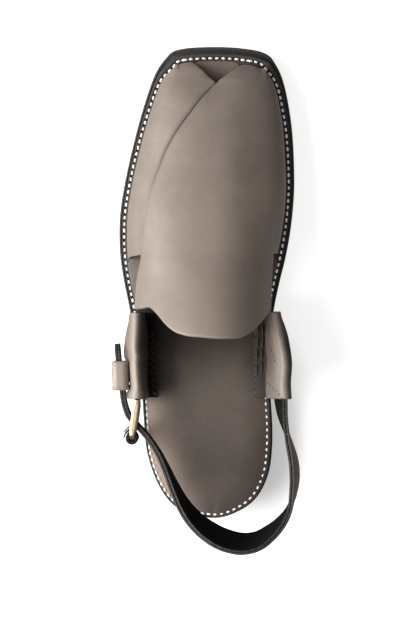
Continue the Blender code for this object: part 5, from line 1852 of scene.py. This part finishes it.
def make_buckle_ear():
    """The lateral ear, wrapped round the buckle's front bar."""
    half_eye = FRAME_DEPTH / 2.0 + PRONG_CLEARANCE + EYE_WALL
    outward, up = Vector((-1.0, 0.0, 0.0)), Vector((0.0, 0.0, 1.0))
    stations = []
    for along in station_places(BUCKLE_EAR):
        drop = read(BUCKLE_EAR, 2, along) * frame_height()
        top = Vector((read(BUCKLE_EAR, 1, along) * width_at(along), y_at(along), frame_top() - drop))
        half = half_eye * read(BUCKLE_EAR, 3, along)
        shape = (read(BUCKLE_EAR, 4, along) + read(EAR_FILL, 1, along), read(BUCKLE_EAR, 5, along))
        stations.append((along, top, outward, up, half, frame_height() - drop, *shape))
    ear_sheet("buckle_ear_leather", "buckle_ear", -1, stations, ["ear_taupe", "ear_inside", "cut_edge"],
              BUCKLE_EAR_THREADS, BUCKLE_EAR_TONE)


def strap_places(route, step):
    """Distances along the strap from its tail to its fixed end."""
    start, end = route.distance_at(STRAP_TAIL_AT, -1), route.distance_at(STRAP_END_AT, 1)
    count = round((end - start) / step)
    return [mix(start, end, k / count) for k in range(count + 1)]


def eased_frames(route, places):
    """The strap's frames with their lean eased along it."""
    frames = [route.frame(at) for at in places]
    out = []
    for k, (top, _, _) in enumerate(frames):
        near = frames[max(0, k - STRAP_EASE): k + STRAP_EASE + 1]
        outward = sum((f[1] for f in near), Vector()).normalized()
        up = sum((f[2] for f in near), Vector())
        up = (up - outward * up.dot(outward)).normalized()
        out.append((top, outward, up))
    return out


def pass_key_light(thing):
    """Let the key light reach the footbed through a thin piece beside it."""
    key = bpy.data.objects["key"]
    blockers = key.light_linking.blocker_collection
    if blockers is None:
        blockers = bpy.data.collections.new("key_blockers")
        key.light_linking.blocker_collection = blockers
    blockers.objects.link(thing)
    for item in blockers.collection_objects:
        item.light_linking.link_state = "EXCLUDE"


def make_heel_strap(route, buckle, crossing):
    """The heel strap: a taupe face and a black lining, each a layer with its own dressed edges."""
    places = strap_places(route, STRAP_PITCH)
    layers = {"strap_face": (0.5, 0.02), "strap_lining": (-0.02, -0.5)}
    hole = prong_path(buckle, crossing)
    run = (hole[3] - hole[1]).normalized()
    for name, (out_share, in_share) in layers.items():
        outer, inner = [], []
        for at, (top, outward, up) in zip(places, eased_frames(route, places)):
            from_tail = at - places[0]
            rest = max(0.0, 1.0 - from_tail / TAIL_ROUND)
            narrow = STRAP_WIDTH / 2.0 * (1.0 - math.sqrt(max(0.0, 1.0 - rest ** 2))) * TAIL_NARROW
            wave = STRAP_WAVE[0] * noise.noise(Vector((at * STRAP_WAVE[1], out_share, 0.0)))
            edge = STRAP_EDGE_WAVE[0] * noise.noise(Vector((at * STRAP_EDGE_WAVE[1], 5.0 + out_share, 0.0)))
            rows = [top - up * (narrow + edge + (STRAP_WIDTH - 2.0 * narrow) * k / STRAP_FINE)
                    for k in range(STRAP_FINE + 1)]
            outer.append([p + outward * (STRAP_THICKNESS * out_share + wave) for p in rows])
            inner.append([p + outward * (STRAP_THICKNESS * in_share + wave) for p in rows])
        outer, inner = rounded_sheet(outer, inner, STRAP_EDGE)
        bm = bmesh.new()
        sheet_mesh(bm, outer, inner, (0, 1, 2))
        is_face = name == "strap_face"
        slots = (["strap_taupe", "lining_black", "face_edge"] if is_face
                 else ["lining_black", "lining_black", "strap_edge"])
        thing = scene_object(name, bm, slots)
        corners = [crossing - run * HOLE_REACH, crossing, crossing + run * HOLE_REACH]
        punch = tube("punch", corners, PRONG_DIAMETER + 2.0 * PRONG_HOLE_CLEARANCE, ["lining_black"],
                     steps=1, sides=24)
        modifier = thing.modifiers.new("hole", "BOOLEAN")
        modifier.operation = "DIFFERENCE"
        modifier.object = punch
        evaluated = thing.evaluated_get(bpy.context.evaluated_depsgraph_get())
        thing.data = bpy.data.meshes.new_from_object(evaluated)
        thing.modifiers.clear()
        bpy.data.objects.remove(punch)
        dress(thing, "strap_leather", *(("heel_strap",) if is_face else ()))
        pass_key_light(thing)


def swept_ring(name, loop, section, origin, axes, materials, deepen=None):
    """A closed section swept round a closed loop; the section's first number is outward, its second along."""
    bm = bmesh.new()
    x_axis, y_axis, z_axis = axes
    count = len(loop)
    rings = []
    for k in range(count):
        before, here, after = (Vector(loop[(k + d) % count]) for d in (-1, 0, 1))
        run = (after - before).normalized()
        out = Vector((run.y, -run.x))
        ring = []
        deep = deepen(here.x) if deepen else 1.0
        for push, along in section:
            along *= deep
            flat = here + out * push
            ring.append(bm.verts.new(origin + x_axis * flat.x + y_axis * flat.y + z_axis * along))
        rings.append(ring)
    sides = len(section)
    for k in range(count):
        a, b = rings[k], rings[(k + 1) % count]
        for s in range(sides):
            bm.faces.new([a[s], a[(s + 1) % sides], b[(s + 1) % sides], b[s]])
    return scene_object(name, bm, materials)


def fine_loop(width, height, radius, steps=8, fill=6):
    """A rounded rectangle with extra points on its straight sides."""
    corners = rounded_loop(width, height, radius, steps)
    out = []
    for a, b in zip(corners, corners[1:] + corners[:1]):
        out.append(a)
        if math.dist(a, b) > radius * 0.8:
            out += [(mix(a[0], b[0], k / fill), mix(a[1], b[1], k / fill)) for k in range(1, fill)]
    return out


def make_keeper(route):
    """The keeper: a taupe band whose rims are rolled."""
    top, outward, up = route.frame(route.distance_at(KEEPER_AT, -1))
    run = outward.cross(up)
    upright = Vector((0.0, math.copysign(1.0, run.y), 0.0))
    run = (run * (1.0 - KEEPER_UPRIGHT) + upright * KEEPER_UPRIGHT).normalized()
    outward = up.cross(run).normalized() * math.copysign(1.0, up.cross(run).dot(outward))
    size = (STRAP_THICKNESS + 2.0 * KEEPER_CLEARANCE, STRAP_WIDTH + 2.0 * KEEPER_CLEARANCE)
    loop = fine_loop(size[0] + KEEPER_SHEET, size[1] + KEEPER_SHEET, KEEPER_SHEET)
    half_wall, half = KEEPER_SHEET / 2.0, KEEPER_LENGTH / 2.0
    face = []
    for k in range(KEEPER_STEPS + 1):
        t = -1.0 + 2.0 * k / KEEPER_STEPS
        edge = abs(t) * half
        swell = sum(rise * math.exp(-((edge - half + off) / wide) ** 2) for rise, off, wide in KEEPER_SWELLS)
        drop = round_drop(half - edge, KEEPER_RIM)
        face.append((half_wall + KEEPER_PLUMP + swell - drop, t * half))
    section = face + [(-half_wall, half - KEEPER_RIM_INSIDE), (-half_wall, -half + KEEPER_RIM_INSIDE)]
    thing = swept_ring("keeper_band", loop, section, top - up * STRAP_WIDTH / 2.0, (outward, up, run),
                       ["ear_taupe"])
    # Painted light: the whole keeper is lightened
    set_tone(thing, lambda point: -KEEPER_LIGHT)
    dress(thing, "taupe_leather", "keeper")


def make_buckle_frame(buckle):
    """The brass frame, a bent round bar a little flattened."""
    loop = fine_loop(FRAME_LENGTH, frame_height() - FRAME_BAR, FRAME_BAR * 1.1, steps=10)
    section = []
    for k in range(FRAME_SIDES):
        a = 2.0 * math.pi * k / FRAME_SIDES
        c, s = (math.copysign(abs(v) ** FRAME_SQUARE, v) for v in (math.cos(a), math.sin(a)))
        section.append((c * FRAME_BAR / 2.0, s * FRAME_DEPTH / 2.0))
    centre = (buckle.front + buckle.roller) / 2.0

    def deepen(back):
        front = smoothstep((back + FRAME_LENGTH / 2.0 - PLUMP_FRONT) / PLUMP_OVER)
        rear = smoothstep((FRAME_LENGTH / 2.0 - PLUMP_REAR - back) / PLUMP_OVER)
        return 1.0 + 2.0 * FRAME_PLUMP / FRAME_DEPTH * (front * rear)

    thing = swept_ring("buckle_ring", loop, section, centre, (buckle.back, buckle.up, buckle.outward),
                       ["polished_brass"], deepen)
    dress(thing, "brass", "buckle_frame")


def make_buckle_roller(buckle):
    """The black roller, a thin tube with rolled ends."""
    length = frame_height() - 2.0 * FRAME_BAR - 2.0 * GAP
    bore = max(FRAME_BAR, FRAME_DEPTH) + 2.0 * ROLLER_FIT
    wall = (ROLLER_DIAMETER - bore) / 2.0
    section = [(push * wall / 2.0, along * length / 2.0) for push, along in ROLLER_SECTION]
    loop = circle_loop((ROLLER_DIAMETER + bore) / 2.0, ROLLER_SIDES)
    thing = swept_ring("buckle_roller_tube", loop, section, buckle.roller,
                       (buckle.back, buckle.outward, buckle.up), ["black_enamel"])
    dress(thing, "black_roller", "buckle_roller")


def tube(name, corners, diameter, materials, steps=12, sides=20, tip=None):
    """A round bar with closed ends along a smooth path in a level plane; tip narrows its last part."""
    line = smooth_path([(p.x, p.y) for p in corners], steps)
    z = corners[0].z
    points = [Vector((x, y, z)) for x, y in line]
    bm = bmesh.new()
    rings = []
    for k, point in enumerate(points):
        run = (points[min(k + 1, len(points) - 1)] - points[max(k - 1, 0)]).normalized()
        level = Vector((run.y, -run.x, 0.0))
        girth = diameter / 2.0
        if tip:
            left = (len(points) - 1 - k) / (len(points) - 1)
            girth *= mix(tip, 1.0, min(1.0, left / TIP_SHARE) ** 0.6)
        rings.append([bm.verts.new(point + (level * math.cos(a) + Vector((0.0, 0.0, math.sin(a)))) * girth)
                      for a in (2.0 * math.pi * s / sides for s in range(sides))])
    for a, b in zip(rings, rings[1:]):
        for s in range(sides):
            bm.faces.new([a[s], a[(s + 1) % sides], b[(s + 1) % sides], b[s]])
    bm.faces.new(rings[0])
    bm.faces.new(list(reversed(rings[-1])))
    return scene_object(name, bm, materials)


def make_prong(buckle, crossing):
    """The prong with its rolled eye."""
    prong = tube("buckle_prong_bar", prong_path(buckle, crossing), PRONG_DIAMETER, ["polished_brass"],
                 tip=PRONG_TIP)
    size = (FRAME_BAR + 2.0 * PRONG_CLEARANCE + EYE_WALL, FRAME_DEPTH + 2.0 * PRONG_CLEARANCE + EYE_WALL)
    half, wall = PRONG_DIAMETER / 2.0, EYE_WALL / 2.0
    section = [(wall * out, half * along) for out, along in EYE_SECTION]
    eye = swept_ring("buckle_prong_eye", fine_loop(*size, EYE_WALL), section, buckle.front,
                     (buckle.back, buckle.outward, buckle.up), ["polished_brass"])
    dress(prong, "brass", "buckle_prong")
    dress(eye, "brass")


# Stage


def make_stage():
    """A pale floor, soft light from the left, and the camera straight above."""
    bm = bmesh.new()
    bmesh.ops.create_grid(bm, x_segments=24, y_segments=24, size=3.0)
    floor = scene_object("floor", bm, ["pale_floor"])
    floor.location.z = -0.0002
    floor.visible_diffuse = False
    floor.visible_glossy = False
    for name, place, size, power, colour in LIGHTS:
        light = bpy.data.lights.new(name, "AREA")
        light.shape = "RECTANGLE"
        light.size, light.size_y = size
        light.energy = power
        light.color = colour
        thing = bpy.data.objects.new(name, light)
        thing.location = place
        thing.rotation_euler = (Vector(LIGHT_AIM) - Vector(place)).to_track_quat("-Z", "Y").to_euler()
        bpy.context.scene.collection.objects.link(thing)
    world = bpy.data.worlds.new("studio")
    bpy.context.scene.world = world
    world.use_nodes = True
    world.node_tree.nodes["Background"].inputs[0].default_value = (*WORLD_COLOUR, 1.0)
    world.node_tree.nodes["Background"].inputs[1].default_value = WORLD_STRENGTH
    camera = bpy.data.cameras.new("camera")
    camera.lens = CAMERA_LENS
    camera.sensor_width = SENSOR_WIDTH
    camera.clip_end = 20.0
    thing = bpy.data.objects.new("camera", camera)
    thing.location = CAMERA_PLACE
    bpy.context.scene.collection.objects.link(thing)
    bpy.context.scene.camera = thing
    bpy.context.scene.view_settings.view_transform = "Standard"


def main():
    """Dress the shoe."""
    make_materials()
    make_stage()
    make_outsole()
    make_heel_block()
    make_midsole()
    make_welt_stitches()
    make_footbed()
    make_upper()
    route = StrapRoute()
    buckle = BucklePlace()
    crossing = strap_crossing(route, buckle)
    make_strap_ear(route)
    make_buckle_ear()
    make_heel_strap(route, buckle, crossing)
    make_keeper(route)
    make_buckle_frame(buckle)
    make_buckle_roller(buckle)
    make_prong(buckle, crossing)


main()
